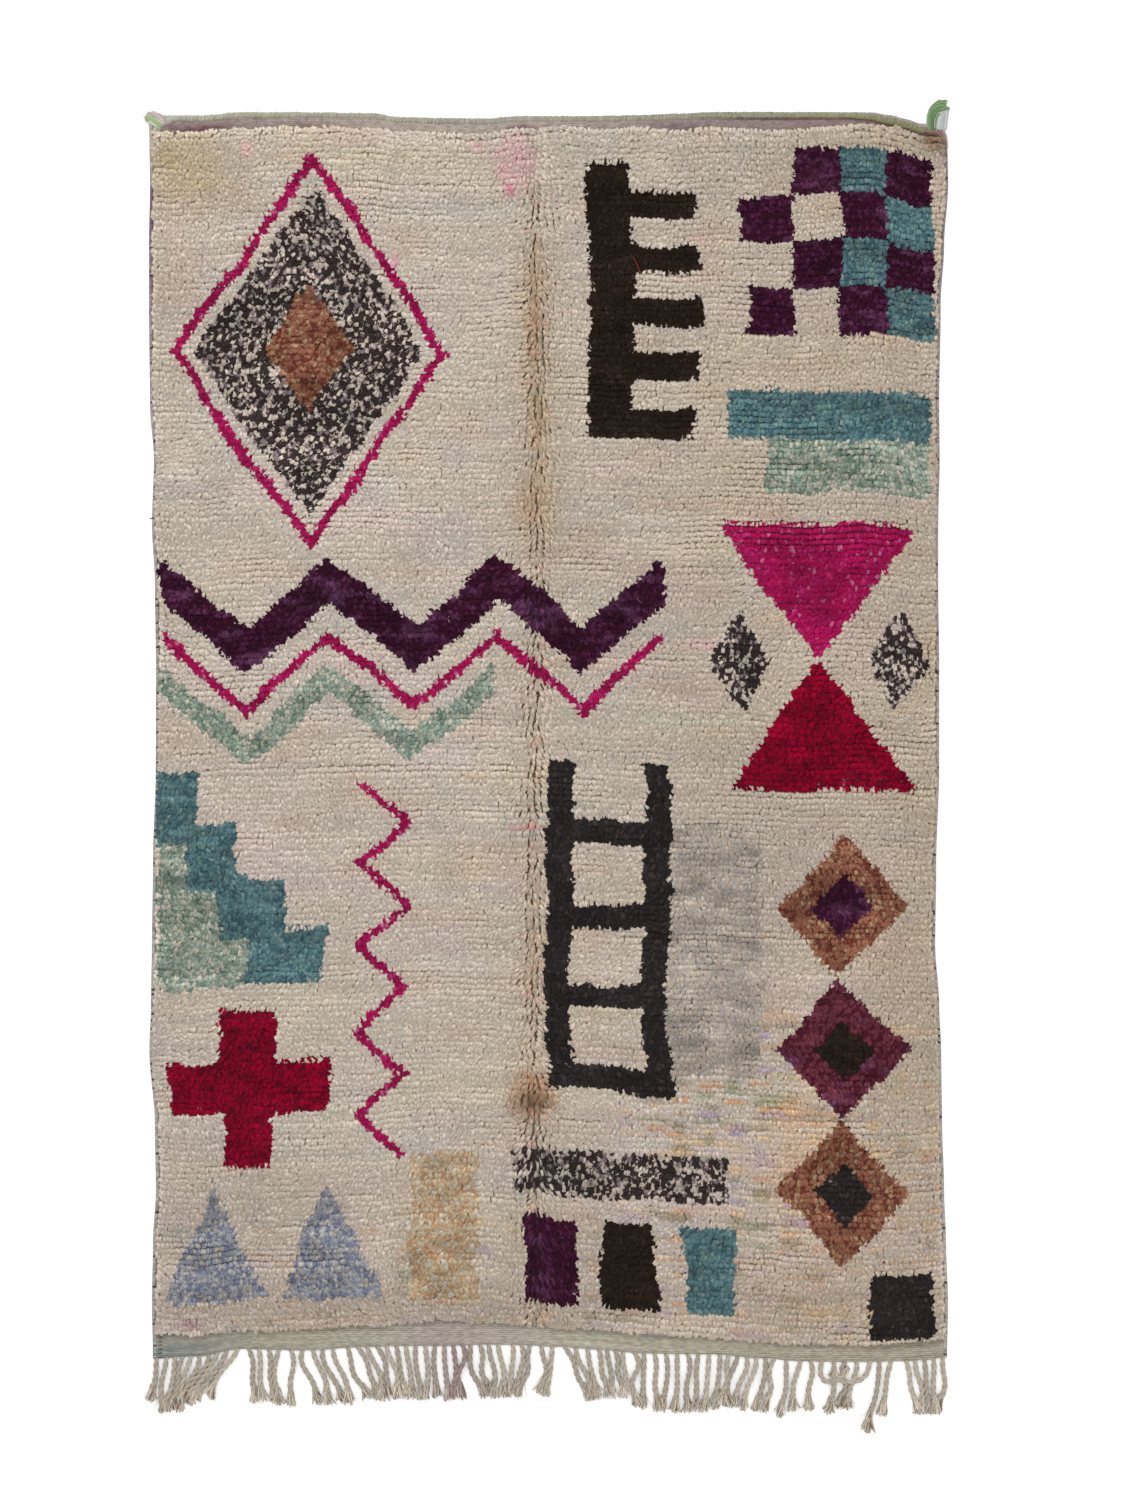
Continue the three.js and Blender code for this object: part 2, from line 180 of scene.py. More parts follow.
# The source moves the part so that its middle is at the origin.
SHIFT = np.array([
    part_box("twined_heading")[0][0] / MM - HEADING_LEFT_END,
    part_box("fringe")[0][1] / MM - FRINGE_LOWEST,
    0,
])


def in_frame(places):
    """Millimetres on the rug to metres in the frame."""
    return (np.asarray(places, float) + SHIFT) * MM


def random_for(name):
    return np.random.default_rng(SEEDS[name])


def eased(place, start, end):
    """From 0 at the start to 1 at the end, level at both."""
    share = np.clip((place - start) / (end - start), 0, 1)
    return share * share * (3 - 2 * share)


def read_table(table, key, column, place):
    """One column of a table at places between its rows, easing from row to row."""
    places = np.array(table[key], float)
    values = np.array(table[column], float)
    row = np.clip(np.searchsorted(places, place) - 1, 0, len(places) - 2)
    share = eased(place, places[row], places[row + 1])
    return values[row] + (values[row + 1] - values[row]) * share


def left_edge(y):
    return -CLOTH_WIDTH / 2 + read_table(SIDES, "down", "left", TOP_LINE - y)


def right_edge(y):
    return CLOTH_WIDTH / 2 - read_table(SIDES, "down", "right", TOP_LINE - y)


def heading_edge(x):
    return TOP_LINE + read_table(ENDS, "across", "top_rise", x)


def top_edge(x):
    return heading_edge(x) - HEADING_WIDTH - HEADING_GAP


def low_edge(x):
    return LOW_LINE - read_table(ENDS, "across", "low_drop", x)


def heading_width(x):
    """The heading broadens where it runs down to the right corner."""
    return HEADING_WIDTH * (1 + 0.6 * eased(x, 600, 700))


def pile_top(x):
    return heading_edge(x) - read_table(ENDS, "across", "top_band", x)


def pile_foot(x):
    return low_edge(x) + read_table(ENDS, "across", "low_band", x)


def crease_at(y):
    return CREASE_X + CREASE_WANDER * np.sin(y / CREASE_WAVE)


ROWS = round(float(pile_top(0.0) - pile_foot(0.0)) / ROW_PITCH)


def soft_noise(x, y, size_x, size_y, seed):
    """Smooth random values, about -1 to 1, that change over the given millimetres."""
    grid = np.random.default_rng(seed).uniform(-1, 1, (NOISE_CELLS, NOISE_CELLS))
    u = np.asarray(x, float) / size_x + 37.3
    v = np.asarray(y, float) / size_y + 71.9
    column = np.floor(u).astype(int)
    row = np.floor(v).astype(int)
    across = eased(u - column, 0, 1)
    up = eased(v - row, 0, 1)
    columns = [column % NOISE_CELLS, (column + 1) % NOISE_CELLS]
    low, high = [
        grid[line, columns[0]] + (grid[line, columns[1]] - grid[line, columns[0]]) * across
        for line in (row % NOISE_CELLS, (row + 1) % NOISE_CELLS)
    ]
    return low + (high - low) * up


def furrows(x, y):
    """How the pile parts along the crease: a push to either side, and how near the crease is."""
    off_crease = x - crease_at(y)
    wander = 7 * soft_noise(x, y, 50, 36, 78) + 3.5 * soft_noise(x, y, 16, 13, 82)
    along = (off_crease + wander) / FURROW_WIDTH
    push = 1 - 2 * (along - np.floor(along))
    near = np.exp(-(off_crease / CREASE_SPREAD) ** 2) * (0.3 + 0.7 * eased(TOP_LINE - y, 90, 190))
    strength = near * np.clip(0.75 + 1.1 * soft_noise(x, y, 9, 17, 80), 0.1, 1)
    return push * strength, near


def linear(colours):
    """Colours given from 0 to 255, as the light values that the shaders take."""
    share = np.asarray(colours, float) / 255
    return np.where(share <= 0.04045, share / 12.92, ((share + 0.055) / 1.055) ** 2.4)


def tint(colours, shade, share):
    """Draws colours towards a shade, each by its own share of the way."""
    colours += (linear(shade) - colours) * share[:, None]


# Dyes and motifs.

# Each yarn is spun of one or more shades: share of the knots, red, green, blue.
YARNS = {
    "ivory": [(1, 195, 184, 171)],
    "black brown": [(0.8, 34, 25, 18), (0.2, 44, 33, 26)],
    "aubergine": [(0.75, 49, 11, 33), (0.25, 67, 25, 53)],
    "teal": [(0.6, 84, 114, 117), (0.25, 62, 90, 98), (0.15, 104, 128, 126)],
    "sea green": [(0.45, 134, 147, 134), (0.2, 104, 124, 109), (0.35, 168, 167, 153)],
    "magenta": [(0.78, 149, 14, 73), (0.18, 161, 32, 91), (0.04, 170, 84, 120)],
    "crimson": [(0.7, 130, 0, 36), (0.3, 99, 1, 30)],
    "charcoal": [(0.75, 38, 33, 33), (0.22, 50, 42, 43), (0.03, 57, 52, 50)],
    "lavender": [(0.42, 138, 141, 150), (0.26, 110, 113, 132), (0.32, 162, 158, 152)],
    "terracotta": [(0.65, 130, 85, 67), (0.2, 99, 50, 40), (0.15, 150, 120, 92)],
    "tweed": [(0.58, 51, 42, 41), (0.3, 181, 169, 158), (0.12, 120, 107, 110)],
    "mauve": [(0.6, 98, 44, 56), (0.4, 73, 22, 38)],
    "pale grey": [(0.7, 168, 157, 145), (0.3, 155, 148, 141)],
    "ochre": [(0.5, 180, 160, 132), (0.3, 173, 138, 106), (0.2, 182, 173, 155)],
}
YARN_NAMES = list(YARNS)


# Each motif says of every place whether it lies in it.

def block(x, y, middle, half):
    return (abs(x - middle[0]) <= half[0]) & (abs(y - middle[1]) <= half[1])


def lozenge(x, y, middle, half):
    return abs(x - middle[0]) / half[0] + abs(y - middle[1]) / half[1] <= 1


def hourglass(x, y, middle, half, upper):
    """One of the two triangles that meet point to point."""
    rise = (y - middle[1]) * (1 if upper else -1)
    return (rise >= 0) & (rise <= half[1]) & (abs(x - middle[0]) <= half[0] * rise / half[1])


def peak(x, y, foot, half_width, height):
    rise = y - foot[1]
    return (rise >= 0) & (rise <= height) & (abs(x - foot[0]) <= half_width * (1 - rise / height))


def stairs(x, y, corner, steps, tread, riser):
    """Steps that fall away from a corner, to the right and down."""
    step = np.floor((x - corner[0]) / tread)
    return (step >= 0) & (step < steps) & (y <= corner[1] - step * riser) \
        & (y >= corner[1] - steps * riser)


def swing(place, period):
    """Straight down from 1 to -1 and up again in each period."""
    return abs((place / period) % 1 * 2 - 1) * 2 - 1


def flat_zigzag(x, y, start, end, middle, reach, period, thickness):
    line = middle + reach * swing(x - start, period)
    return (x >= start) & (x <= end) & (abs(y - line) <= thickness)


def upright_zigzag(x, y, foot, top, middle, reach, period, thickness):
    line = middle + reach * swing(y - foot, period)
    return (y >= foot) & (y <= top) & (abs(x - line) <= thickness)


def comb(x, y, stem, foot, top, stem_width, teeth, tooth_length, tooth_width):
    """An upright stem with teeth to its right."""
    pitch = (top - foot) / teeth
    tooth = ((y - foot) % pitch <= tooth_width) & (x >= stem) & (x <= stem + tooth_length)
    spine = (x >= stem) & (x <= stem + stem_width)
    return (y >= foot) & (y <= top) & (tooth | spine)


def ladder(x, y, middle, half, rail_width, rungs, rung_width):
    inside = block(x, y, middle, half)
    rail = abs(x - middle[0]) >= half[0] - rail_width
    pitch = 2 * half[1] / rungs
    rung = (y - middle[1] + half[1]) % pitch <= rung_width
    return inside & (rail | rung)


def checks(x, y, corner, size, columns, rows, odd):
    """The odd or the even squares of a block of them."""
    column = np.floor((x - corner[0]) / size)
    row = np.floor((y - corner[1]) / size)
    inside = (column >= 0) & (column < columns) & (row >= 0) & (row < rows)
    return inside & ((column + row) % 2 == odd)


# The motifs in the order in which they cover one another. They are common ones of flat and
# knotted weaves, laid out freely for this part.
MOTIFS = [
    ("pale grey", block, dict(middle=(330, -420), half=(96, 250))),
    ("ochre", block, dict(middle=(-210, -1000), half=(70, 150))),
    ("magenta", lozenge, dict(middle=(-478, 782), half=(286, 400))),
    ("ivory", lozenge, dict(middle=(-478, 782), half=(264, 368))),
    ("tweed", lozenge, dict(middle=(-478, 782), half=(236, 330))),
    ("terracotta", lozenge, dict(middle=(-478, 782), half=(90, 126))),
    ("black brown", comb, dict(stem=76, foot=610, top=1160, stem_width=92, teeth=5,
                               tooth_length=226, tooth_width=56)),
    ("aubergine", checks, dict(corner=(396, 812), size=94, columns=4, rows=4, odd=0)),
    ("teal", checks, dict(corner=(584, 812), size=94, columns=2, rows=4, odd=1)),
    ("teal", block, dict(middle=(564, 652), half=(204, 48))),
    ("sea green", block, dict(middle=(604, 552), half=(164, 54))),
    ("aubergine", flat_zigzag, dict(start=-784, end=236, middle=250, reach=74, period=340,
                                    thickness=46)),
    ("magenta", flat_zigzag, dict(start=-784, end=236, middle=134, reach=74, period=340,
                                  thickness=12)),
    ("sea green", flat_zigzag, dict(start=-784, end=-104, middle=50, reach=74, period=340,
                                    thickness=30)),
    ("magenta", hourglass, dict(middle=(548, 170), half=(196, 262), upper=True)),
    ("crimson", hourglass, dict(middle=(548, 170), half=(196, 262), upper=False)),
    ("tweed", lozenge, dict(middle=(392, 170), half=(62, 104))),
    ("tweed", lozenge, dict(middle=(704, 170), half=(62, 104))),
    ("teal", stairs, dict(corner=(-790, -60), steps=4, tread=84, riser=108)),
    ("sea green", stairs, dict(corner=(-790, -210), steps=3, tread=60, riser=96)),
    ("charcoal", ladder, dict(middle=(120, -380), half=(126, 330), rail_width=52, rungs=4,
                              rung_width=48)),
    ("terracotta", lozenge, dict(middle=(592, -320), half=(136, 140))),
    ("aubergine", lozenge, dict(middle=(592, -320), half=(62, 64))),
    ("mauve", lozenge, dict(middle=(592, -606), half=(136, 140))),
    ("black brown", lozenge, dict(middle=(592, -606), half=(62, 64))),
    ("terracotta", lozenge, dict(middle=(592, -892), half=(136, 140))),
    ("charcoal", lozenge, dict(middle=(592, -892), half=(62, 64))),
    ("magenta", upright_zigzag, dict(foot=-850, top=-90, middle=-338, reach=48, period=170,
                                     thickness=11)),
    ("crimson", block, dict(middle=(-604, -700), half=(158, 52))),
    ("crimson", block, dict(middle=(-604, -700), half=(50, 158))),
    ("lavender", peak, dict(foot=(-672, -1130), half_width=104, height=236)),
    ("lavender", peak, dict(foot=(-440, -1130), half_width=104, height=236)),
    ("tweed", block, dict(middle=(150, -880), half=(210, 46))),
    ("aubergine", block, dict(middle=(4, -1062), half=(52, 88))),
    ("black brown", block, dict(middle=(164, -1062), half=(52, 88))),
    ("teal", block, dict(middle=(324, -1062), half=(52, 88))),
    ("charcoal", block, dict(middle=(716, -1112), half=(62, 66))),
]

# Places where a dye has run or the wool is soiled: x, y, half width, half height, strength, colour.
STAINS = [
    (-70, 1150, 44, 64, 0.65, (208, 160, 166)),
    (-79, 1098, 9, 8, 0.8, (206, 78, 140)),
    (-143, 1184, 22, 9, 0.4, (222, 160, 172)),
    (-764, 1166, 30, 24, 0.5, (138, 112, 66)),
    (-726, 1150, 70, 70, 0.45, (186, 162, 110)),
    (-604, 1180, 14, 18, 0.5, (226, 158, 168)),
    (-311, 946, 8, 26, 0.6, (220, 130, 162)),
    (770, 1194, 13, 10, 0.7, (160, 118, 66)),
    (-721, -1190, 19, 7, 0.8, (140, 66, 112)),
    (-32, -732, 50, 56, 0.8, (164, 112, 70)),
    (-32, -742, 32, 24, 1.0, (88, 54, 24)),
    (-30, 812, 16, 76, 0.4, (160, 112, 66)),
    (-24, 640, 20, 54, 0.35, (170, 128, 80)),
    (632, -962, 30, 24, 0.6, (230, 166, 172)),
    (86, -1176, 18, 8, 0.7, (104, 112, 84)),
    (-20, -1150, 30, 7, 0.55, (84, 80, 66)),
    (-8, -1172, 16, 10, 0.5, (194, 122, 72)),
    (517, -868, 72, 170, 0.3, (220, 172, 126)),
    (-740, -1010, 46, 20, 0.5, (112, 122, 116)),
    (440, -1142, 30, 5, 0.7, (128, 108, 150)),
    (560, -1166, 60, 16, 0.4, (214, 168, 116)),
    (300, 1000, 26, 12, 0.3, (222, 166, 176)),
    (330, 180, 80, 14, 0.3, (222, 166, 176)),
    (270, 30, 130, 12, 0.28, (170, 184, 168)),
    (560, -1130, 300, 110, 0.55, (176, 156, 138)),
    (-380, -1160, 560, 60, 0.65, (166, 150, 136)),
    (420, -250, 190, 260, 0.5, (174, 162, 152)),
    (-20, -190, 70, 6, 0.5, (206, 120, 138)),
    (20, -142, 84, 8, 0.35, (136, 156, 136)),
    (-40, 470, 44, 60, 0.28, (184, 136, 104)),
    (-26, 920, 26, 70, 0.3, (172, 134, 92)),
    (-30, -470, 26, 120, 0.25, (182, 140, 112)),
    (774, 1200, 34, 28, 0.85, (118, 94, 72)),
    (800, 1176, 9, 34, 0.6, (96, 66, 84)),
    (730, -700, 120, 420, 0.6, (172, 154, 134)),
    (-640, -960, 260, 170, 0.5, (176, 164, 150)),
    (0, -960, 150, 260, 0.4, (176, 162, 150)),
    (-720, 1150, 130, 110, 0.4, (184, 168, 140)),
]

# Odd lengths of other yarn along the rows of the lower field: their colour and their noise seed.
STREAKS = [
    ((196, 148, 108), 51),
    ((164, 144, 166), 52),
    ((148, 132, 108), 53),
    ((204, 176, 140), 54),
    ((150, 150, 122), 55),
]

# Broad tints of the ivory wool: colour, width and height of their patches, seed, and what is taken
# off the noise, so that the tint is rarer.
IVORY_TINTS = [
    ((196, 184, 160), 210, 90, 21, 0),
    ((198, 180, 174), 170, 60, 22, 0),
    ((184, 180, 174), 150, 70, 23, 0.2),
    ((194, 168, 146), 120, 46, 24, 0.3),
]

# How much the ivory wool loses of its red, green and blue where it is darkest, at the right.
DARKENED = np.array([0.135, 0.165, 0.21])


def chart(x, y):
    """Which yarn each knot is tied in, as a number in YARN_NAMES."""
    kinds = np.zeros(len(x), int)
    for yarn, shape, sizes in MOTIFS:
        kinds[shape(x, y, **sizes)] = YARN_NAMES.index(yarn)
    return kinds


def dyed(kinds, random):
    """One of its yarn's shades for each knot."""
    colours = np.zeros((len(kinds), 3))
    for number, name in enumerate(YARN_NAMES):
        here = kinds == number
        shades = np.array(YARNS[name], float)
        picks = random.choice(len(shades), here.sum(), p=shades[:, 0])
        colours[here] = linear(shades[picks, 1:])
    return colours


def knot_kinds(x, row_y):
    """The yarn of every knot. The motifs' outlines are as uneven as hand knotting leaves them."""
    uneven_x = 9 * soft_noise(x, row_y, 150, 120, 4) + 4 * soft_noise(x, row_y, 60, 13, 5)
    uneven_y = 8 * soft_noise(x, row_y, 130, 150, 6)
    return chart(x + uneven_x, row_y + uneven_y)


def tint_ivory(colours, x, y, row_y, ivory):
    """Broad tints, a darker right side, and odd yarns low down."""
    for shade, size_x, size_y, seed, less in IVORY_TINTS:
        field = soft_noise(x, y, size_x, size_y, seed) - less
        tint(colours, shade, np.clip(field, 0, 1) * 0.6 * ivory)
    rightwards = np.clip((x + 250) / 1000, 0, 1) * (1 - 0.7 * eased(y, -320, -700)) * ivory
    colours *= 1 - rightwards[:, None] * DARKENED
    streaky = eased(y, -480, -640) * eased(x, 80, 240) + 0.55 * eased(y, -880, -1040)
    for shade, seed in STREAKS:
        field = soft_noise(x, row_y, 56, 10, seed) - 0.48
        share = np.clip(2.4 * field, 0, 0.85) * np.clip(streaky, 0, 1) * ivory
        tint(colours, shade, share)


def vary_dyes(colours, x, y, row_y, kinds, ivory):
    """Dye lots along the rows, uneven dyeing, and a bluish bloom on the dark reds."""
    lot = 1 + 0.1 * soft_noise(x, row_y, 330, 14, 31) + 0.06 * soft_noise(x, y, 60, 60, 32)
    strength = np.where(ivory, 0.55, 1.0) * 1.3
    colours *= (1 + (lot - 1) * strength)[:, None]
    uneven = 0.24 * soft_noise(x, row_y, 52, 20, 33) + 0.16 * soft_noise(x, row_y, 26, 12, 34)
    colours *= (1 + uneven * ~ivory)[:, None]
    bloom = soft_noise(x, row_y, 46, 12, 35) + 0.5 * soft_noise(x, y, 14, 9, 36) - 0.15
    dark_red = np.isin(kinds, [YARN_NAMES.index("aubergine"), YARN_NAMES.index("mauve")])
    colours += linear((82, 52, 78)) * (0.8 * np.clip(bloom, 0, 1) * dark_red)[:, None]


def stain(colours, x, y, ivory, random):
    """Bleeds and soil, knot by knot, on the ivory wool alone."""
    for middle_x, middle_y, half_x, half_y, strength, shade in STAINS:
        far = ((x - middle_x) / half_x) ** 2 + ((y - middle_y) / half_y) ** 2
        share = strength * np.exp(-far ** 2) * random.uniform(0.5, 1.15, len(x))
        tint(colours, shade, np.clip(share, 0, 1) * ivory)


def soil_crease(colours, x, y, ivory):
    """Yellow-brown in the furrows, most of all in the upper part, with some rusty spots."""
    push, near_crease = furrows(x, y)
    soiled = 0.35 * eased(abs(push), 0.5, 0.9) + 0.16 * near_crease
    soiled += 0.22 * near_crease * eased(abs(y - 640), 400, 200)
    tint(colours, (154, 126, 84), soiled * ivory)
    rusty = np.clip(near_crease * soft_noise(x, y, 18, 12, 42) - 0.35, 0, 0.35)
    tint(colours, (190, 138, 114), rusty * ivory)


def field_colours(x, y, row_y, random):
    """The colour of every knot, with the dye lots, bleeds and soil of the field."""
    kinds = knot_kinds(x, row_y)
    ivory = kinds == YARN_NAMES.index("ivory")
    colours = dyed(kinds, random)
    tint_ivory(colours, x, y, row_y, ivory)
    vary_dyes(colours, x, y, row_y, kinds, ivory)
    stain(colours, x, y, ivory, random)
    soil_crease(colours, x, y, ivory)
    knot_by_knot = random.normal(1, 0.03, (len(x), 1)) * random.normal(1, 0.012, (len(x), 3))
    return DYE_LIFT * colours * knot_by_knot.clip(0.8, 1.2)


# Meshes, trees and pieces.

def add(tree, kind, sockets=None, **options):
    """Adds a node, sets its options, and fills its sockets with values or links."""
    node = tree.nodes.new(kind)
    for option, value in options.items():
        setattr(node, option, value)
    for key, value in (sockets or {}).items():
        if isinstance(value, bpy.types.NodeSocket):
            tree.links.new(value, node.inputs[key])
        else:
            node.inputs[key].default_value = value
    return node


def maths(tree, operation, first, second=0.0):
    return add(tree, "ShaderNodeMath", {0: first, 1: second}, operation=operation).outputs[0]


def vector_maths(tree, operation, first, second):
    node = add(tree, "ShaderNodeVectorMath", {0: first}, operation=operation)
    key = "Scale" if operation == "SCALE" else 1
    if isinstance(second, bpy.types.NodeSocket):
        tree.links.new(second, node.inputs[key])
    else:
        node.inputs[key].default_value = second
    return node.outputs[0]


def named(tree, name, kind):
    """Reads one of the facts that were given to the points."""
    node = add(tree, "GeometryNodeInputNamedAttribute", {"Name": name}, data_type=kind)
    return node.outputs["Attribute"]


def kept(tree, geometry, name, value, kind, domain="POINT"):
    """Keeps a value on the geometry under a name."""
    node = add(
        tree,
        "GeometryNodeStoreNamedAttribute",
        {"Geometry": geometry, "Name": name, "Value": value},
        data_type=kind,
        domain=domain,
    )
    return node.outputs["Geometry"]


def new_tree(name, inputs):
    """A Geometry Nodes tree with named inputs, and the sockets that bring them in."""
    tree = bpy.data.node_groups.new(name, "GeometryNodeTree")
    face = tree.interface
    face.new_socket(name="Geometry", in_out="INPUT", socket_type="NodeSocketGeometry")
    for label, kind in inputs.items():
        face.new_socket(name=label, in_out="INPUT", socket_type=kind)
    face.new_socket(name="Geometry", in_out="OUTPUT", socket_type="NodeSocketGeometry")
    return tree, tree.nodes.new("NodeGroupInput").outputs


def finished(tree, geometry, given):
    """Ends a tree: real geometry, smooth, in its wool."""
    real = add(tree, "GeometryNodeRealizeInstances", {"Geometry": geometry})
    smooth = add(tree, "GeometryNodeSetShadeSmooth", {"Geometry": real.outputs[0]})
    dressed = add(
        tree,
        "GeometryNodeSetMaterial",
        {"Geometry": smooth.outputs[0], "Material": given["Wool"]},
    )
    add(tree, "NodeGroupOutput", {"Geometry": dressed.outputs[0]})


def tuft_tree():
    """Cut ends of pile yarn: a narrow root and a blunt tip that leans over and tilts."""
    tree, given = new_tree("pile_tufts", {
        "Sides": "NodeSocketInt",
        "Tip lift": "NodeSocketFloat",
        "Bend": "NodeSocketFloat",
        "Wool": "NodeSocketMaterial",
    })
    cone = add(
        tree,
        "GeometryNodeMeshCone",
        {
            "Vertices": given["Sides"],
            "Side Segments": 1,
            "Fill Segments": 1,
            "Radius Top": 0.5,
            "Radius Bottom": 0.0,
            "Depth": 1.0,
        },
        fill_type="NGON",
    )
    square = add(tree, "GeometryNodeTransform", {
        "Geometry": cone.outputs["Mesh"],
        "Rotation": (0, 0, math.pi / 4),
    })
    place = add(tree, "GeometryNodeInputPosition").outputs[0]
    axes = add(tree, "ShaderNodeSeparateXYZ", {0: place}).outputs
    tilt = maths(tree, "MULTIPLY", axes[0], given["Tip lift"])
    upwards = add(tree, "ShaderNodeCombineXYZ", {"Z": tilt}).outputs[0]
    bud = add(tree, "GeometryNodeSetPosition", {"Geometry": square.outputs[0], "Offset": upwards})
    shape = kept(tree, bud.outputs[0], "rise", axes[2], "FLOAT")
    shape = kept(tree, shape, "own", cone.outputs["UV Map"], "FLOAT2", "CORNER")
    spin = add(tree, "ShaderNodeCombineXYZ", {"Z": named(tree, "spin", "FLOAT")}).outputs[0]
    planted = add(tree, "GeometryNodeInstanceOnPoints", {
        "Points": given["Geometry"],
        "Instance": shape,
        "Rotation": spin,
        "Scale": named(tree, "spread", "FLOAT_VECTOR"),
    })
    real = add(tree, "GeometryNodeRealizeInstances", {"Geometry": planted.outputs[0]})
    bend = maths(tree, "POWER", named(tree, "rise", "FLOAT"), given["Bend"])
    over = vector_maths(tree, "SCALE", named(tree, "lean", "FLOAT_VECTOR"), bend)
    leant = add(tree, "GeometryNodeSetPosition", {"Geometry": real.outputs[0], "Offset": over})
    finished(tree, leant.outputs[0], given)
    return tree


def stitch_tree():
    """Plump stitches of thick yarn, one on each point."""
    tree, given = new_tree("wrapped_stitches", {
        "Sides": "NodeSocketInt",
        "Rings": "NodeSocketInt",
        "Wool": "NodeSocketMaterial",
    })
    bead = add(tree, "GeometryNodeMeshUVSphere", {
        "Segments": given["Sides"],
        "Rings": given["Rings"],
        "Radius": 0.5,
    })
    upright = add(tree, "GeometryNodeTransform", {
        "Geometry": bead.outputs["Mesh"],
        "Rotation": (math.pi / 2, 0, 0),
    })
    shape = kept(tree, upright.outputs[0], "own", bead.outputs["UV Map"], "FLOAT2", "CORNER")
    turn = named(tree, "turn", "FLOAT_VECTOR")
    sewn = add(tree, "GeometryNodeInstanceOnPoints", {
        "Points": given["Geometry"],
        "Instance": shape,
        "Rotation": turn,
        "Scale": named(tree, "spread", "FLOAT_VECTOR"),
    })
    finished(tree, sewn.outputs[0], given)
    return tree


def yarn_tree():
    """Yarn along a path: one or more plies that wind round each other."""
    tree, given = new_tree("twisted_yarn", {
        "Plies": "NodeSocketInt",
        "Ply share": "NodeSocketFloat",
        "Winding": "NodeSocketFloat",
        "Turns a metre": "NodeSocketFloat",
        "Sides": "NodeSocketInt",
        "Wool": "NodeSocketMaterial",
    })
    path = add(tree, "GeometryNodeMeshToCurve", {"Mesh": given["Geometry"]})
    plies = add(
        tree,
        "GeometryNodeDuplicateElements",
        {"Geometry": path.outputs[0], "Amount": given["Plies"]},
        domain="SPLINE",
    )
    thick = named(tree, "thick", "FLOAT")
    number = maths(tree, "MULTIPLY", named(tree, "strand", "FLOAT"), given["Plies"])
    ply = plies.outputs["Duplicate Index"]
    line = kept(tree, plies.outputs[0], "strand", maths(tree, "ADD", number, ply), "FLOAT")
    parameter = add(tree, "GeometryNodeSplineParameter")
    line = kept(tree, line, "along", parameter.outputs["Factor"], "FLOAT")
    turns = maths(tree, "MULTIPLY", parameter.outputs["Length"], given["Turns a metre"])
    phase = maths(tree, "DIVIDE", ply, given["Plies"])
    line = kept(tree, line, "phase", phase, "FLOAT")
    turned = maths(tree, "ADD", turns, named(tree, "phase", "FLOAT"))
    angle = maths(tree, "MULTIPLY", turned, 2 * math.pi)
    normal = add(tree, "GeometryNodeInputNormal").outputs[0]
    tangent = add(tree, "GeometryNodeInputTangent").outputs[0]
    sideways = vector_maths(tree, "CROSS_PRODUCT", tangent, normal)
    out = vector_maths(tree, "SCALE", normal, maths(tree, "COSINE", angle))
    aside = vector_maths(tree, "SCALE", sideways, maths(tree, "SINE", angle))
    reach = maths(tree, "MULTIPLY", thick, given["Winding"])
    offset = vector_maths(tree, "SCALE", vector_maths(tree, "ADD", out, aside), reach)
    wound = add(tree, "GeometryNodeSetPosition", {"Geometry": line, "Offset": offset})
    ring = add(tree, "GeometryNodeCurvePrimitiveCircle", {
        "Resolution": given["Sides"],
        "Radius": 1.0,
    })
    factor = add(tree, "GeometryNodeSplineParameter").outputs["Factor"]
    section = kept(tree, ring.outputs["Curve"], "around", factor, "FLOAT")
    swept = add(tree, "GeometryNodeCurveToMesh", {
        "Curve": wound.outputs[0],
        "Profile Curve": section,
        "Scale": maths(tree, "MULTIPLY", thick, given["Ply share"]),
        "Fill Caps": True,
    })
    finished(tree, swept.outputs[0], given)
    return tree


def set_facts(mesh, facts):
    """Gives each point of a mesh its facts: a number, a direction or a colour."""
    kinds = {1: ("FLOAT", "value"), 3: ("FLOAT_VECTOR", "vector"), 4: ("FLOAT_COLOR", "color")}
    for name, values in facts.items():
        values = np.asarray(values, float)
        width = 1 if values.ndim == 1 else values.shape[1]
        kind, field = kinds[width]
        attribute = mesh.attributes.new(name, kind, "POINT")
        attribute.data.foreach_set(field, values.ravel())


def opaque(colours):
    return np.column_stack([colours, np.ones(len(colours))])


def loose_points(name, places, facts):
    mesh = bpy.data.meshes.new(name)
    mesh.from_pydata(in_frame(places).tolist(), [], [])
    set_facts(mesh, facts)
    return mesh


def new_piece(name, mesh):
    piece = bpy.data.objects.new(name, mesh)
    scene.collection.objects.link(piece)
    return piece


def grown(name, start, tree, values):
    """Runs a tree over the mesh that it starts from, and gives the result as a plain piece."""
    bed = new_piece(name + "_bed", start)
    modifier = bed.modifiers.new("grow", "NODES")
    modifier.node_group = tree
    for item in tree.interface.items_tree:
        if item.in_out == "INPUT" and item.name in values:
            modifier[item.identifier] = values[item.name]
    graph = bpy.context.evaluated_depsgraph_get()
    mesh = bpy.data.meshes.new_from_object(
        bed.evaluated_get(graph), preserve_all_data_layers=True, depsgraph=graph)
    bpy.data.objects.remove(bed)
    mesh.name = name
    return new_piece(name, mesh)


def point_values(mesh, name):
    values = np.empty(len(mesh.vertices))
    mesh.attributes[name].data.foreach_get("value", values)
    return values


def corner_points(mesh):
    points = np.empty(len(mesh.loops), int)
    mesh.loops.foreach_get("vertex_index", points)
    return points


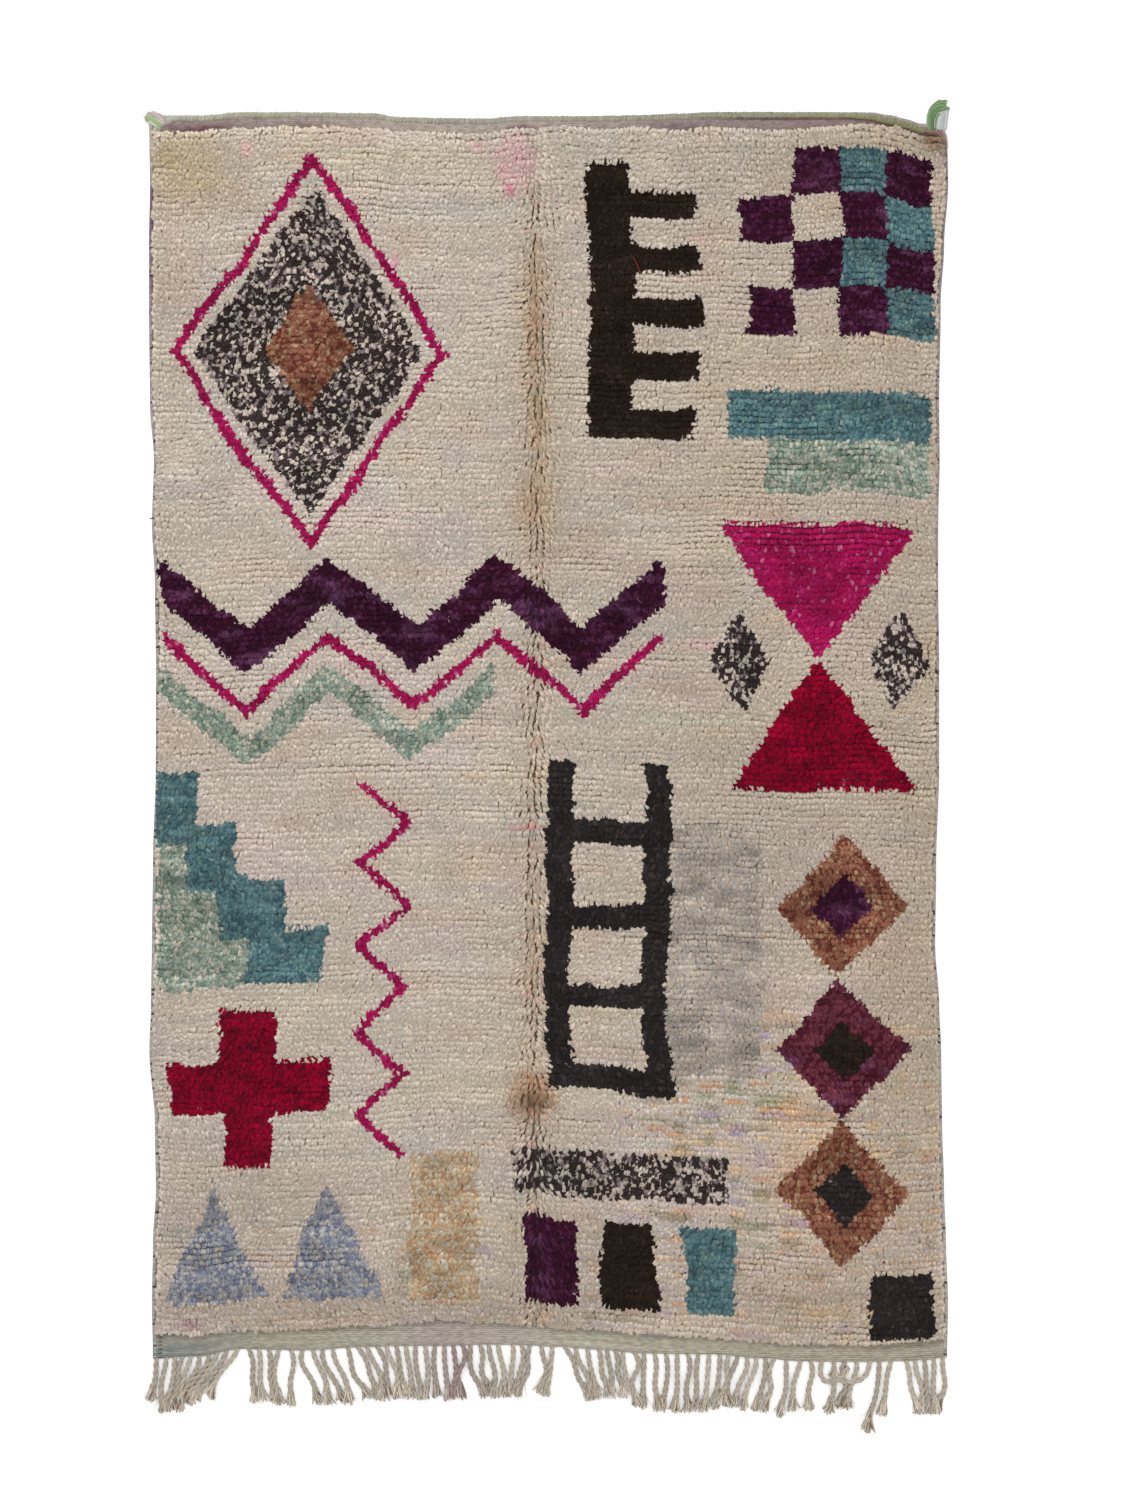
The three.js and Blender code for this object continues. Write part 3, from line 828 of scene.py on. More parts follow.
def lay_out(mesh, own):
    """Gives every strand a cell of its own on the map named OFBake."""
    strand = point_values(mesh, "strand")[corner_points(mesh)].round().astype(int)
    strand -= strand.min()
    side = math.ceil(math.sqrt(strand.max() + 1))
    cell = np.column_stack([strand % side, strand // side])
    places = (cell + MAP_MARGIN + (1 - 2 * MAP_MARGIN) * np.clip(own, 0, 1)) / side
    layer = mesh.uv_layers.new(name="OFBake")
    layer.data.foreach_set("uv", places.ravel())


def lay_out_shapes(mesh):
    """The map of pieces made of instances, each of which brings its own small map."""
    own = np.empty((len(mesh.loops), 2))
    mesh.attributes["own"].data.foreach_get("vector", own.ravel())
    lay_out(mesh, own)


def lay_out_yarn(mesh):
    """The map of pieces made of yarn: along it, round it, and its two cut ends beside that."""
    points = corner_points(mesh)
    along = point_values(mesh, "along")[points]
    around = point_values(mesh, "around")[points]
    starts = np.empty(len(mesh.polygons), int)
    counts = np.empty(len(mesh.polygons), int)
    mesh.polygons.foreach_get("loop_start", starts)
    mesh.polygons.foreach_get("loop_total", counts)
    face = np.repeat(np.arange(len(counts)), counts)
    highest = np.maximum.reduceat(around, starts)[face]
    is_cut_end = (counts != 4)[face]
    round_it = np.where((highest > 0.6) & (around == 0) & ~is_cut_end, 1.0, around)
    angle = 2 * np.pi * around
    own = np.column_stack([along * 0.88, round_it])
    cut = np.column_stack([0.95 + 0.04 * np.cos(angle), 0.25 + 0.5 * along + 0.2 * np.sin(angle)])
    lay_out(mesh, np.where(is_cut_end[:, None], cut, own))


# Finishes.

def new_group(name, inputs, outputs):
    """A shader group with named inputs and outputs."""
    group = bpy.data.node_groups.new(name, "ShaderNodeTree")
    for label, kind in inputs.items():
        group.interface.new_socket(name=label, in_out="INPUT", socket_type=kind)
    for label, kind in outputs.items():
        group.interface.new_socket(name=label, in_out="OUTPUT", socket_type=kind)
    return group, group.nodes.new("NodeGroupInput").outputs


def shade_about(tree, value, middle, contrast):
    """A shade that swings about 1 as a value swings about its middle."""
    away = maths(tree, "MULTIPLY", maths(tree, "SUBTRACT", value, middle), contrast)
    return maths(tree, "ADD", away, 1.0)


def humps(tree, place):
    """Rises and falls once from each whole number to the next."""
    return maths(tree, "ABSOLUTE", maths(tree, "SINE", maths(tree, "MULTIPLY", place, math.pi)))


def fibre_group():
    """Fine wool fibres that run along a yarn: how they shade it and how high they stand."""
    group, given = new_group(
        "wool_fibres",
        {
            "Map": "NodeSocketVector",
            "Strand": "NodeSocketFloat",
            "Round": "NodeSocketFloat",
            "Along": "NodeSocketFloat",
            "Contrast": "NodeSocketFloat",
        },
        {"Shade": "NodeSocketFloat", "Height": "NodeSocketFloat"},
    )
    grain = add(group, "ShaderNodeCombineXYZ", {0: given["Round"], 1: given["Along"], 2: 1.0})
    stretched = vector_maths(group, "MULTIPLY", given["Map"], grain.outputs[0])
    seed = maths(group, "MULTIPLY", given["Strand"], 0.731)
    fibres = add(
        group,
        "ShaderNodeTexNoise",
        {"Vector": stretched, "W": seed, "Scale": 1.0, "Detail": 2.0, "Roughness": 0.6},
        noise_dimensions="4D",
    )
    height = fibres.outputs[0]
    shade = shade_about(group, height, 0.5, given["Contrast"])
    add(group, "NodeGroupOutput", {"Shade": shade, "Height": height})
    return group


def wear_group():
    """Dust and handling: broad soft patches, and a fine grain of loose fibre."""
    group, given = new_group(
        "dust_and_wear",
        {
            "Colour": "NodeSocketColor",
            "Dust": "NodeSocketColor",
            "Patch scale": "NodeSocketFloat",
            "Amount": "NodeSocketFloat",
        },
        {"Colour": "NodeSocketColor", "Roughness": "NodeSocketFloat"},
    )
    place = add(group, "ShaderNodeTexCoord").outputs["Object"]
    patches = add(
        group,
        "ShaderNodeTexNoise",
        {"Vector": place, "Scale": given["Patch scale"], "Detail": 3.0},
    ).outputs[0]
    loose = add(group, "ShaderNodeTexNoise", {"Vector": place, "Scale": 900.0, "Detail": 1.0})
    both = maths(group, "MULTIPLY", patches, loose.outputs[0])
    share = maths(group, "MULTIPLY", both, given["Amount"])
    mixed = add(
        group,
        "ShaderNodeMix",
        {0: share, 6: given["Colour"], 7: given["Dust"]},
        data_type="RGBA",
    )
    rough = maths(group, "ADD", maths(group, "MULTIPLY", patches, 0.12), 0.82)
    add(group, "NodeGroupOutput", {"Colour": mixed.outputs[2], "Roughness": rough})
    return group


def weave_group():
    """A weft-faced weave: picks over and under the warps, each row shifted from the last."""
    group, given = new_group(
        "flat_weave",
        {
            "Map": "NodeSocketVector",
            "Warp pitch": "NodeSocketFloat",
            "Pick pitch": "NodeSocketFloat",
            "Contrast": "NodeSocketFloat",
        },
        {"Shade": "NodeSocketFloat", "Height": "NodeSocketFloat"},
    )
    axes = add(group, "ShaderNodeSeparateXYZ", {0: given["Map"]}).outputs
    pick = maths(group, "DIVIDE", axes[1], given["Pick pitch"])
    shifted = maths(group, "MULTIPLY", maths(group, "FLOOR", pick), 0.5)
    warp = maths(group, "ADD", maths(group, "DIVIDE", axes[0], given["Warp pitch"]), shifted)
    height = maths(group, "MULTIPLY", humps(group, warp), humps(group, pick))
    stretched = vector_maths(group, "MULTIPLY", given["Map"], (0.07, 0.3, 1.0))
    mottle = add(group, "ShaderNodeTexNoise", {"Vector": stretched, "Scale": 1.0, "Detail": 2.0})
    uneven = maths(group, "ADD", height, maths(group, "MULTIPLY", mottle.outputs[0], 2.0))
    shade = shade_about(group, uneven, 1.4, given["Contrast"])
    add(group, "NodeGroupOutput", {"Shade": shade, "Height": height})
    return group


def wool(name, texture, texture_map, texture_values, relief, dust_amount=0.12):
    """A woollen finish in the dye that each point carries, shaded by one of the groups."""
    material = bpy.data.materials.new(name)
    material.use_nodes = True
    tree = material.node_tree
    tree.nodes.clear()
    place = add(tree, "ShaderNodeUVMap", uv_map=texture_map).outputs[0]
    detail = add(tree, "ShaderNodeGroup", {"Map": place, **texture_values}, node_tree=texture)
    if "Strand" in detail.inputs:
        strand = add(tree, "ShaderNodeAttribute", attribute_name="strand").outputs["Fac"]
        tree.links.new(strand, detail.inputs["Strand"])
    dye = add(tree, "ShaderNodeAttribute", attribute_name="dye").outputs["Color"]
    soiled = add(tree, "ShaderNodeGroup", {
        "Colour": vector_maths(tree, "SCALE", dye, detail.outputs["Shade"]),
        "Dust": (0.5, 0.44, 0.35, 1),
        "Patch scale": 9.0,
        "Amount": dust_amount,
    }, node_tree=WEAR)
    strength, distance = relief
    bump = add(tree, "ShaderNodeBump", {
        "Strength": strength,
        "Distance": distance,
        "Height": detail.outputs["Height"],
    })
    shader = add(tree, "ShaderNodeBsdfPrincipled", {
        "Base Color": soiled.outputs["Colour"],
        "Roughness": soiled.outputs["Roughness"],
        "Normal": bump.outputs[0],
        "Sheen Weight": 0.02,
        "Sheen Roughness": 0.6,
        "Specular IOR Level": 0.02,
    })
    add(tree, "ShaderNodeOutputMaterial", {"Surface": shader.outputs[0]})
    return material


FIBRES = fibre_group()
WEAR = wear_group()
WEAVE = weave_group()
TUFTS = tuft_tree()
STITCHES = stitch_tree()
YARN = yarn_tree()

# The pairs are the strength of the relief and its depth in metres.
PILE_WOOL = wool("pile_wool", FIBRES, "own", {"Round": 14, "Along": 3, "Contrast": 0.8},
                 (0.5, 0.0008), dust_amount=0.015)
STITCH_WOOL = wool("stitch_wool", FIBRES, "own", {"Round": 14, "Along": 5, "Contrast": 0.7},
                   (0.5, 0.0005))
WARP_WOOL = wool("warp_wool", FIBRES, "own", {"Round": 40, "Along": 9, "Contrast": 0.9},
                 (0.6, 0.0006))
BAND_WOOL = wool("band_wool", WEAVE, "weave",
                 {"Warp pitch": 5.4, "Pick pitch": 4.2, "Contrast": 0.6}, (0.8, 0.0012))
BACK_WOOL = wool("back_wool", WEAVE, "weave",
                 {"Warp pitch": 7.2, "Pick pitch": 5.85, "Contrast": 0.5}, (0.8, 0.001))


# The ground weave.

def bed_colours_with_painted_shade(x, y):
    """The back of the knots shows the same motifs, with warps and picks and painted shade."""
    colours = field_colours(x, y, y, random_for("underside"))
    in_field = (y < pile_top(x)) & (y > pile_foot(x))
    plain = np.broadcast_to(linear((176, 164, 142)), colours.shape)
    near_crease = furrows(x, y)[1]
    near_band = eased(y, pile_top(x) - 30, pile_top(x) - 10)
    # Painted shade: the feet of the pile are darker, more where rows lie open, less by the band.
    colours *= (0.62 - 0.2 * openness(x, y) + 0.2 * near_band)[:, None]
    pale = eased(colours.mean(axis=1), 0.12, 0.3)
    # Painted shadow and brown soil in the furrows: pale knots' feet turn dark brown there.
    tint(colours, (78, 58, 36), 0.95 * near_crease * pale)
    return np.where(in_field[:, None], colours + plain * 0.04, plain)


def cloth_grid(columns, rows):
    """Places over the whole cloth, closer together along the crease."""
    crease = 0.5 + CREASE_X / CLOTH_WIDTH
    near = 0.03
    stations = np.concatenate([
        np.linspace(0, crease - near, columns // 2),
        np.linspace(crease - near, crease + near, 22)[1:-1],
        np.linspace(crease + near, 1, columns // 2),
    ])
    across, up = np.meshgrid(stations, np.linspace(0, 1, rows))
    x = np.zeros_like(across)
    y = np.zeros_like(across)
    guess = (across - 0.5) * CLOTH_WIDTH
    for _ in range(3):
        y = low_edge(guess) + (top_edge(guess) - low_edge(guess)) * up
        x = left_edge(y) + (right_edge(y) - left_edge(y)) * across
        guess = x
    return x, y


def grid_faces(columns, rows, start, faces_up):
    index = start + np.arange(columns * rows).reshape(rows, columns)
    faces = np.stack([index[:-1, :-1], index[:-1, 1:], index[1:, 1:], index[1:, :-1]], axis=-1)
    faces = faces.reshape(-1, 4)
    return faces if faces_up else faces[:, ::-1]


def rim(columns, rows):
    """The points round a grid, seen from above, against the clock."""
    index = np.arange(columns * rows).reshape(rows, columns)
    return np.concatenate([index[0, :-1], index[:-1, -1], index[-1, :0:-1], index[:0:-1, 0]])


def closed_sheet(name, x, y, top, bottom, facts_of, material):
    """A closed cloth from its grid of places and the heights of its two faces."""
    rows, columns = x.shape
    upper = np.column_stack([x.ravel(), y.ravel(), np.broadcast_to(top, x.shape).ravel()])
    lower = np.column_stack([x.ravel(), y.ravel(), np.broadcast_to(bottom, x.shape).ravel()])
    count = len(upper)
    edge = rim(columns, rows)
    after = np.roll(edge, -1)
    walls = np.column_stack([edge + count, after + count, after, edge])
    faces = np.vstack([
        grid_faces(columns, rows, 0, True),
        grid_faces(columns, rows, count, False),
        walls,
    ])
    mesh = bpy.data.meshes.new(name)
    mesh.from_pydata(in_frame(np.vstack([upper, lower])).tolist(), [], faces.tolist())
    set_facts(mesh, facts_of(np.tile(x.ravel(), 2), np.tile(y.ravel(), 2)))
    corners = corner_points(mesh)
    places = np.tile(np.column_stack([x.ravel(), y.ravel()]), (2, 1))[corners]
    mesh.uv_layers.new(name="weave").data.foreach_set("uv", places.ravel())
    mesh.shade_smooth()
    mesh.materials.append(material)
    return new_piece(name, mesh)


def bed_height(x, y):
    """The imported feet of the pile, which fill its lower half and lie low along the crease."""
    inside = eased(pile_top(x) - y, 3, 15) * eased(y - pile_foot(x), 3, 15)
    inside *= eased(x - left_edge(y), 9, 20) * eased(right_edge(y) - x, 9, 20)
    height = BED_HEIGHT + 1.2 * lumps(x, y) - 5 * furrows(x, y)[1]
    return SHEET_THICKNESS + (height - SHEET_THICKNESS) * inside


def ground_weave():
    """The woven cloth with the feet of the pile in it, from one selvedge to the other."""
    x, y = cloth_grid(columns=120, rows=210)
    return closed_sheet(
        "ground_weave", x, y, bed_height(x, y), 0.0,
        lambda px, py: {"dye": opaque(bed_colours_with_painted_shade(px, py))}, BACK_WOOL)


# Flat-woven bands.

def colour_along(table, x):
    """A colour that changes from place to place across the rug."""
    places = [row[0] for row in table]
    shades = linear([row[1] for row in table])
    return np.column_stack([np.interp(x, places, shades[:, part]) for part in range(3)])


# The colours of the two bands, from left to right.
TOP_BAND = [
    (-808, (150, 146, 138)), (-770, (138, 124, 118)), (-700, (138, 122, 118)),
    (-560, (152, 140, 133)), (-330, (166, 154, 144)), (-110, (168, 158, 149)),
    (60, (166, 155, 146)), (250, (144, 128, 127)), (560, (142, 124, 122)),
    (690, (138, 120, 114)), (808, (140, 118, 110)),
]
LOW_BAND = [
    (-808, (143, 142, 134)), (-745, (149, 146, 136)), (-690, (154, 150, 138)),
    (-560, (166, 160, 144)), (-300, (168, 161, 148)), (-222, (160, 147, 143)),
    (-160, (164, 154, 145)), (60, (172, 166, 151)), (330, (169, 162, 145)),
    (640, (167, 160, 143)), (808, (162, 153, 140)),
]
# Where plum picks lie next to the pile: from, to, strength.
PLUM_AT_PILE = [(-786, -620, 1.0), (-600, -400, 0.35), (-112, 10, 0.7), (200, 330, 0.5),
                (640, 764, 1.0)]


def top_band_colours(x, y):
    """Mauve-grey picks, with plum ones next to the pile."""
    colours = colour_along(TOP_BAND, x)
    depth = (top_edge(x) - y) / (top_edge(x) - pile_top(x))
    for start, end, strength in PLUM_AT_PILE:
        inside = eased(x, start, start + 50) * eased(x, end, end - 50)
        dashes = 0.6 + 0.9 * soft_noise(x, y, 11, 5, 51) + 0.5 * soft_noise(x, y, 40, 9, 55)
        share = 0.9 * strength * inside * eased(depth, 0.1, 0.65) * np.clip(dashes, 0, 1)
        tint(colours, (104, 70, 84), share)
    below_heading = heading_edge(x) - heading_width(x) - y
    under_heading = eased(below_heading, 6.5, 3) * eased(x, 290, 420) * eased(x, 790, 766)
    tint(colours, (84, 60, 54), 0.8 * under_heading)
    specks = soft_noise(x, y, 6, 4, 56) > 0.72
    colours[specks] *= 0.72
    return colours * (1 + 0.16 * soft_noise(x, y, 8, 5, 52))[:, None]


def low_band_colours(x, y):
    """Sage-grey picks, bluish at the left corner with darker rows, and painted shade by the pile.
    """
    colours = colour_along(LOW_BAND, x)
    depth = y - low_edge(x)
    rows = 0.13 * soft_noise(x, depth, 110, 4, 53) + 0.08 * soft_noise(x, depth, 400, 7, 57)
    flecks = 0.15 * soft_noise(x, depth, 8, 3.4, 58)
    colours *= (1 + rows + flecks)[:, None]
    corner = eased(x, -650, -720) * eased(depth, 28, 22)
    picks = np.clip(0.7 + soft_noise(x, depth, 90, 5, 54), 0, 1)
    tint(colours, (116, 126, 126), 0.75 * corner * picks)
    # Painted shade: the picks darken towards the pile's edge.
    pile_depth = read_table(ENDS, "across", "low_band", x)
    painted_shade = eased(depth, pile_depth - 16, pile_depth - 2)
    colours *= (1 - 0.22 * painted_shade)[:, None]
    dotted = (abs(x + 783) < 4) & (np.floor(depth / 4) % 2 == 0)
    colours[dotted] = linear((82, 76, 78))
    green = np.exp(-((x - 86) / 20) ** 2) * eased(depth, 20, 44)
    tint(colours, (120, 126, 102), 0.5 * green)
    return colours


def top_band():
    """Ribs that run up to the heading, and go a little way under it and under the pile."""
    half_ribs = 860
    under_pile = 5
    under_heading = 1.5
    share, up = np.meshgrid(np.linspace(0, 1, half_ribs), np.linspace(0, 1, 8))
    left, right = left_edge(TOP_LINE - 20), right_edge(TOP_LINE - 20)
    x = left + 2 + (right - left - 4) * share
    foot = pile_top(x) - under_pile
    y = foot + (top_edge(x) + under_heading - pile_top(x) + under_pile) * up
    rib = np.arange(half_ribs) % 2 * 0.9
    top = BAND_TOP - rib + 0.25 * soft_noise(x, y, 30, 6, 61)
    return closed_sheet(
        "upper_flat_weave", x, y, top, BAND_FOOT,
        lambda px, py: {"dye": opaque(top_band_colours(px, py))}, BAND_WOOL)


def low_band():
    """Weft-faced picks along the lower edge, one ridge for each."""
    half_picks = 40
    under_pile = 6
    share, up = np.meshgrid(np.linspace(0, 1, 220), np.linspace(0, 1, half_picks))
    middle = low_edge(-CLOTH_WIDTH / 2 + CLOTH_WIDTH * share) + 25
    x = left_edge(middle) + 1 + (right_edge(middle) - left_edge(middle) - 2) * share
    foot = low_edge(x) - 0.5
    y = foot + (pile_foot(x) + under_pile - foot) * up
    ridge = (np.arange(half_picks) % 2 * 0.8)[:, None]
    top = BAND_TOP - ridge + 0.35 * soft_noise(x, y, 44, 9, 62)
    return closed_sheet(
        "lower_flat_weave", x, y, top, BAND_FOOT,
        lambda px, py: {"dye": opaque(low_band_colours(px, py))}, BAND_WOOL)


# Pile.

def lumps(x, y):
    """Broad soft lumps of the pile, from -1 to 1, as in the part's source."""
    return (0.45 * np.sin(x / 97 + y / 61)
            + 0.35 * np.sin(x / 41 - y / 83 + 1.3)
            + 0.2 * np.sin(x / 190 - y / 29))


def tuft_places(random):
    """Where each tuft stands, row by row, and the height of its row at the rug's middle."""
    xs, ys, row_ys = [], [], []
    left_middle_right = np.array([-CLOTH_WIDTH / 2, 0.0, CLOTH_WIDTH / 2])
    highest, lowest = pile_top(left_middle_right), pile_foot(left_middle_right)
    for half_row in range(2 * ROWS):
        share = (half_row + 0.5) / (2 * ROWS)
        line = highest + (lowest - highest) * share
        start = float(left_edge(line[0])) + SELVEDGE_WIDTH + 1
        end = float(right_edge(line[2])) - SELVEDGE_WIDTH - 1
        count = round((end - start) / TUFT_PITCH)
        step = (end - start) / count
        x = start + (np.arange(count) + 0.5 + random.uniform(-0.42, 0.42, count)) * step
        y = pile_top(x) + (pile_foot(x) - pile_top(x)) * share
        row = np.full(count, float(half_row // 2))
        y += 1.9 * soft_noise(x, row, 46, 1.6, 71)
        drawn_in = np.clip(1.0 + 1.3 * soft_noise(x, row, 58, 1.2, 69), 0, 2)
        y += (half_row % 2 * 2 - 1) * (drawn_in + 1.5 * openness(x, y))
        y += random.normal(0, 0.9, count)
        xs.append(x)
        ys.append(y)
        row_ys.append(np.full(count, line[1]))
    return np.concatenate(xs), np.concatenate(ys), np.concatenate(row_ys)


def openness(x, y):
    """1 where neighbouring rows lie open and the gaps between them show dark."""
    below = TOP_LINE - y
    open_here = np.zeros(len(x))
    for down, rows, start, end in OPEN_ROWS:
        inside = eased(x, start, start + 40) * eased(x, end, end - 40)
        open_here += inside * ((below > down) & (below < down + rows * ROW_PITCH))
    right_side = eased(x, 180, 480) * (0.1 + 0.25 * soft_noise(x, y, 260, 150, 72))
    elsewhere = np.clip(1.3 * soft_noise(x, y, 110, 30, 70) - 0.45, 0, 0.6) * eased(below, 50, 110)
    return np.clip(0.75 * open_here + right_side + elsewhere, 0, 1)


def pile_lean(x, y, near_crease, random):
    """How far each tuft's tip lies from its root, in millimetres."""
    slant = 0.75 * soft_noise(x, y, 230, 170, 73) + 0.6 * soft_noise(x, y, 60, 60, 74)
    slant = slant * (1 - 0.8 * near_crease) + 0.4 * near_crease * soft_noise(x, y, 12, 26, 81)
    off_crease = x - crease_at(y)
    slant += 0.6 * np.tanh(off_crease / 16) * np.exp(-(off_crease / 62) ** 2)
    slant += random.normal(0, 0.26, len(x)) * (1 - 0.5 * near_crease)
    reach = 8.4 + 2.2 * soft_noise(x, y, 120, 80, 76) + random.normal(0, 1.6, len(x))
    reach *= 1 - 0.45 * openness(x, y)
    tip_x = reach * np.sin(slant)
    tip_y = -reach * np.cos(slant)
    tip_x += 1.6 * soft_noise(x, y, 15, 22, 75) * (1 - 0.6 * near_crease)
    tip_y += 1.6 * soft_noise(x, y, 46, 13, 77)
    upwards = 6 - 5 * eased(x, -60, 120) * eased(x, 660, 560)
    tip_y += upwards * eased(y, pile_top(x) - 24, pile_top(x))
    tip_y += 4 * eased(y, pile_foot(x) + 18, pile_foot(x))
    left_room = eased(x, left_edge(y) + 10, left_edge(y) + 26)
    right_room = eased(x, right_edge(y) - 10, right_edge(y) - 26)
    return np.clip(tip_x, -1.5 - 12 * left_room, 1.5 + 12 * right_room), tip_y


def pile():
    """The whole field of tufts, in strips that are each one piece."""
    random = random_for("pile")
    x, y, row_y = tuft_places(random)
    push, near_crease = furrows(x, y)
    tip_x, tip_y = pile_lean(x, y, near_crease, random)
    x = x + FURROW_PUSH * push
    fall = CREASE_DEPTH * np.exp(-((x - crease_at(y)) / CREASE_HALF_WIDTH) ** 2)
    lumpy = LUMP_HEIGHT * (lumps(x, y) - 1) + 1.2 * soft_noise(x, y, 24, 20, 79)
    top = PILE_HEIGHT + lumpy - fall - 2.5 * abs(push) + random.normal(0, 0.6, len(x))
    length = random.uniform(*TUFT_LENGTHS, len(x))
    length *= 1 - 0.35 * openness(x, y) + 0.25 * near_crease
    near_band = eased(y, pile_top(x) - 20, pile_top(x) - 4)
    width = random.uniform(*TUFT_WIDTHS, len(x)) * (1 - 0.3 * near_crease - 0.15 * near_band)
    spin = np.arctan2(tip_y, tip_x) + random.normal(0, 0.42, len(x)) * (1 - 0.6 * near_crease)
    facts = {
        "dye": opaque(field_colours(x, y + 0.5 * tip_y, row_y, random)),
        "spin": spin,
        "spread": np.column_stack([length, width, top - TUFT_FOOT]) * MM,
        "lean": np.column_stack([tip_x, tip_y, np.zeros(len(x))]) * MM,
        "strand": np.arange(len(x)),
    }
    places = np.column_stack([x - 0.4 * tip_x, y - 0.5 * tip_y, np.full(len(x), TUFT_FOOT)])
    pieces = []
    for number, part in enumerate(np.array_split(np.arange(len(x)), PILE_STRIPS)):
        points = loose_points("pile_bed", places[part], {
            name: values[part] for name, values in facts.items()})
        piece = grown(f"pile_{number + 1}", points, TUFTS, {
            "Sides": 4,
            "Tip lift": 0.45,
            "Bend": 1.5,
            "Wool": PILE_WOOL,
        })
        lay_out_shapes(piece.data)
        pieces.append(piece)
    return pieces


# Heading and selvedges.

# Colours along the heading, from left to right, and along the selvedges, from low to high.
HEADING_COLOURS = [
    (-782, (172, 172, 160)), (-700, (168, 168, 152)), (-610, (166, 166, 146)),
    (-585, (164, 168, 138)), (-540, (164, 166, 140)), (-500, (166, 163, 148)),
    (-250, (165, 160, 145)), (0, (165, 159, 145)), (220, (156, 153, 134)),
    (480, (148, 150, 122)), (630, (144, 148, 114)), (700, (138, 141, 104)),
    (764, (140, 140, 108)),
]
HEADING_OUTER_COLOURS = [
    (-782, (186, 186, 176)), (-600, (178, 178, 162)), (-300, (170, 168, 154)),
    (300, (150, 150, 134)), (560, (150, 154, 130)), (650, (160, 152, 150)),
    (764, (162, 152, 152)),
]
LEFT_SELVEDGE = [
    (-1262, (150, 154, 152)), (-900, (168, 170, 166)), (-300, (160, 162, 160)),
    (300, (164, 162, 160)), (700, (160, 152, 154)), (900, (146, 126, 140)),
    (1000, (126, 96, 122)), (1090, (122, 90, 116)), (1140, (168, 160, 156)),
    (1250, (176, 174, 168)),
]
RIGHT_SELVEDGE = [
    (-1262, (168, 168, 164)), (-1000, (176, 172, 166)), (-300, (168, 160, 154)),
    (400, (162, 152, 148)), (900, (152, 146, 148)), (1150, (140, 128, 136)),
    (1250, (150, 138, 132)),
]

# The heading's rows of stitches: how far in from its edge, the length, width and height of a
# stitch's middle, and the colours.
HEADING_ROWS = [
    (6.6, 8.6, 5.4, 3.2, HEADING_COLOURS),
    (2.2, 6.0, 4.2, 2.4, HEADING_OUTER_COLOURS),
]


def stitched(name, points, rings):
    """A stitch on every point, as one piece."""
    piece = grown(name, points, STITCHES, {"Sides": 6, "Rings": rings, "Wool": STITCH_WOOL})
    lay_out_shapes(piece.data)
    return piece


def turned_flat(angles):
    """Turns about the upright axis."""
    level = np.zeros(len(angles))
    return np.column_stack([level, level, angles])


def heading():
    """Slanting stitches of the twined heading, with a thin row over its outer edge."""
    random = random_for("heading")
    count = round((HEADING_RIGHT_END - HEADING_LEFT_END) / STITCH_PITCH)
    x = np.linspace(HEADING_LEFT_END + 2, HEADING_RIGHT_END - 2, count)
    slope = (heading_edge(x + 2) - heading_edge(x - 2)) / 4
    turn = np.arctan(slope) - 0.3 + random.normal(0, 0.05, count)
    broad = heading_width(x) / HEADING_WIDTH
    ribs = 1 - 0.08 * (np.arange(count) % 2)
    places, colours, spreads = [], [], []
    for in_from_edge, length, width, middle, table in HEADING_ROWS:
        y = heading_edge(x) - in_from_edge * broad + random.normal(0, 0.4, count)
        places.append(np.column_stack([x, y, np.full(count, middle)]))
        shades = random.normal(1, 0.09, count).clip(0.7, 1.3) * ribs
        colours.append(colour_along(table, x) * shades[:, None])
        spreads.append(np.column_stack([
            np.full(count, STITCH_THICKNESS), (length + 2) * broad, np.full(count, width)]) * MM)
    points = loose_points("heading_bed", np.vstack(places), {
        "dye": opaque(np.vstack(colours)),
        "turn": np.tile(turned_flat(turn), (len(HEADING_ROWS), 1)),
        "spread": np.vstack(spreads),
        "strand": np.arange(len(HEADING_ROWS) * count),
    })
    return stitched("heading_stitches", points, rings=4)


def selvedge(name, edge_of, inwards, table):
    """Overcast stitches along one long side."""
    random = random_for(name)
    low = LOW_LINE - 8
    high = top_edge(edge_of(TOP_LINE - 20)) - 4
    count = round((high - low) / OVERCAST_PITCH)
    y = np.linspace(low, high, count)
    x = edge_of(y) + inwards * OVERCAST_INSET
    shades = colour_along(table, y) * random.normal(1, 0.16, (count, 1)).clip(0.6, 1.35)
    dark = random.random(count) < DARK_OVERCAST_SHARE
    shades[dark] = linear((78, 58, 78))
    points = loose_points(name + "_bed", np.column_stack([x, y, np.full(count, 2.9)]), {
        "dye": opaque(shades),
        "turn": turned_flat(random.normal(0.28 * inwards, 0.08, count)),
        "spread": np.column_stack([
            random.uniform(8.8, 9.8, count), np.full(count, 5.6), np.full(count, 5.4)]) * MM,
        "strand": np.arange(count),
    })
    return stitched(name, points, rings=3)


# Fringe, tufts and stray fibres.

def yarn_bed(name, lines):
    """Paths for the yarn tree. Each line is its points, half thicknesses and colour."""
    points, edges, thick, dye, strand = [], [], [], [], []
    start = 0
    for number, (path, half, colour) in enumerate(lines):
        points.append(path)
        edges.extend((start + step, start + step + 1) for step in range(len(path) - 1))
        start += len(path)
        thick.append(np.broadcast_to(half, len(path)) * MM)
        dye.append(np.broadcast_to(colour, (len(path), 3)))
        strand.append(np.full(len(path), number))
    mesh = bpy.data.meshes.new(name)
    mesh.from_pydata(in_frame(np.vstack(points)).tolist(), edges, [])
    set_facts(mesh, {
        "thick": np.concatenate(thick),
        "dye": opaque(np.vstack(dye)),
        "strand": np.concatenate(strand),
    })
    return mesh


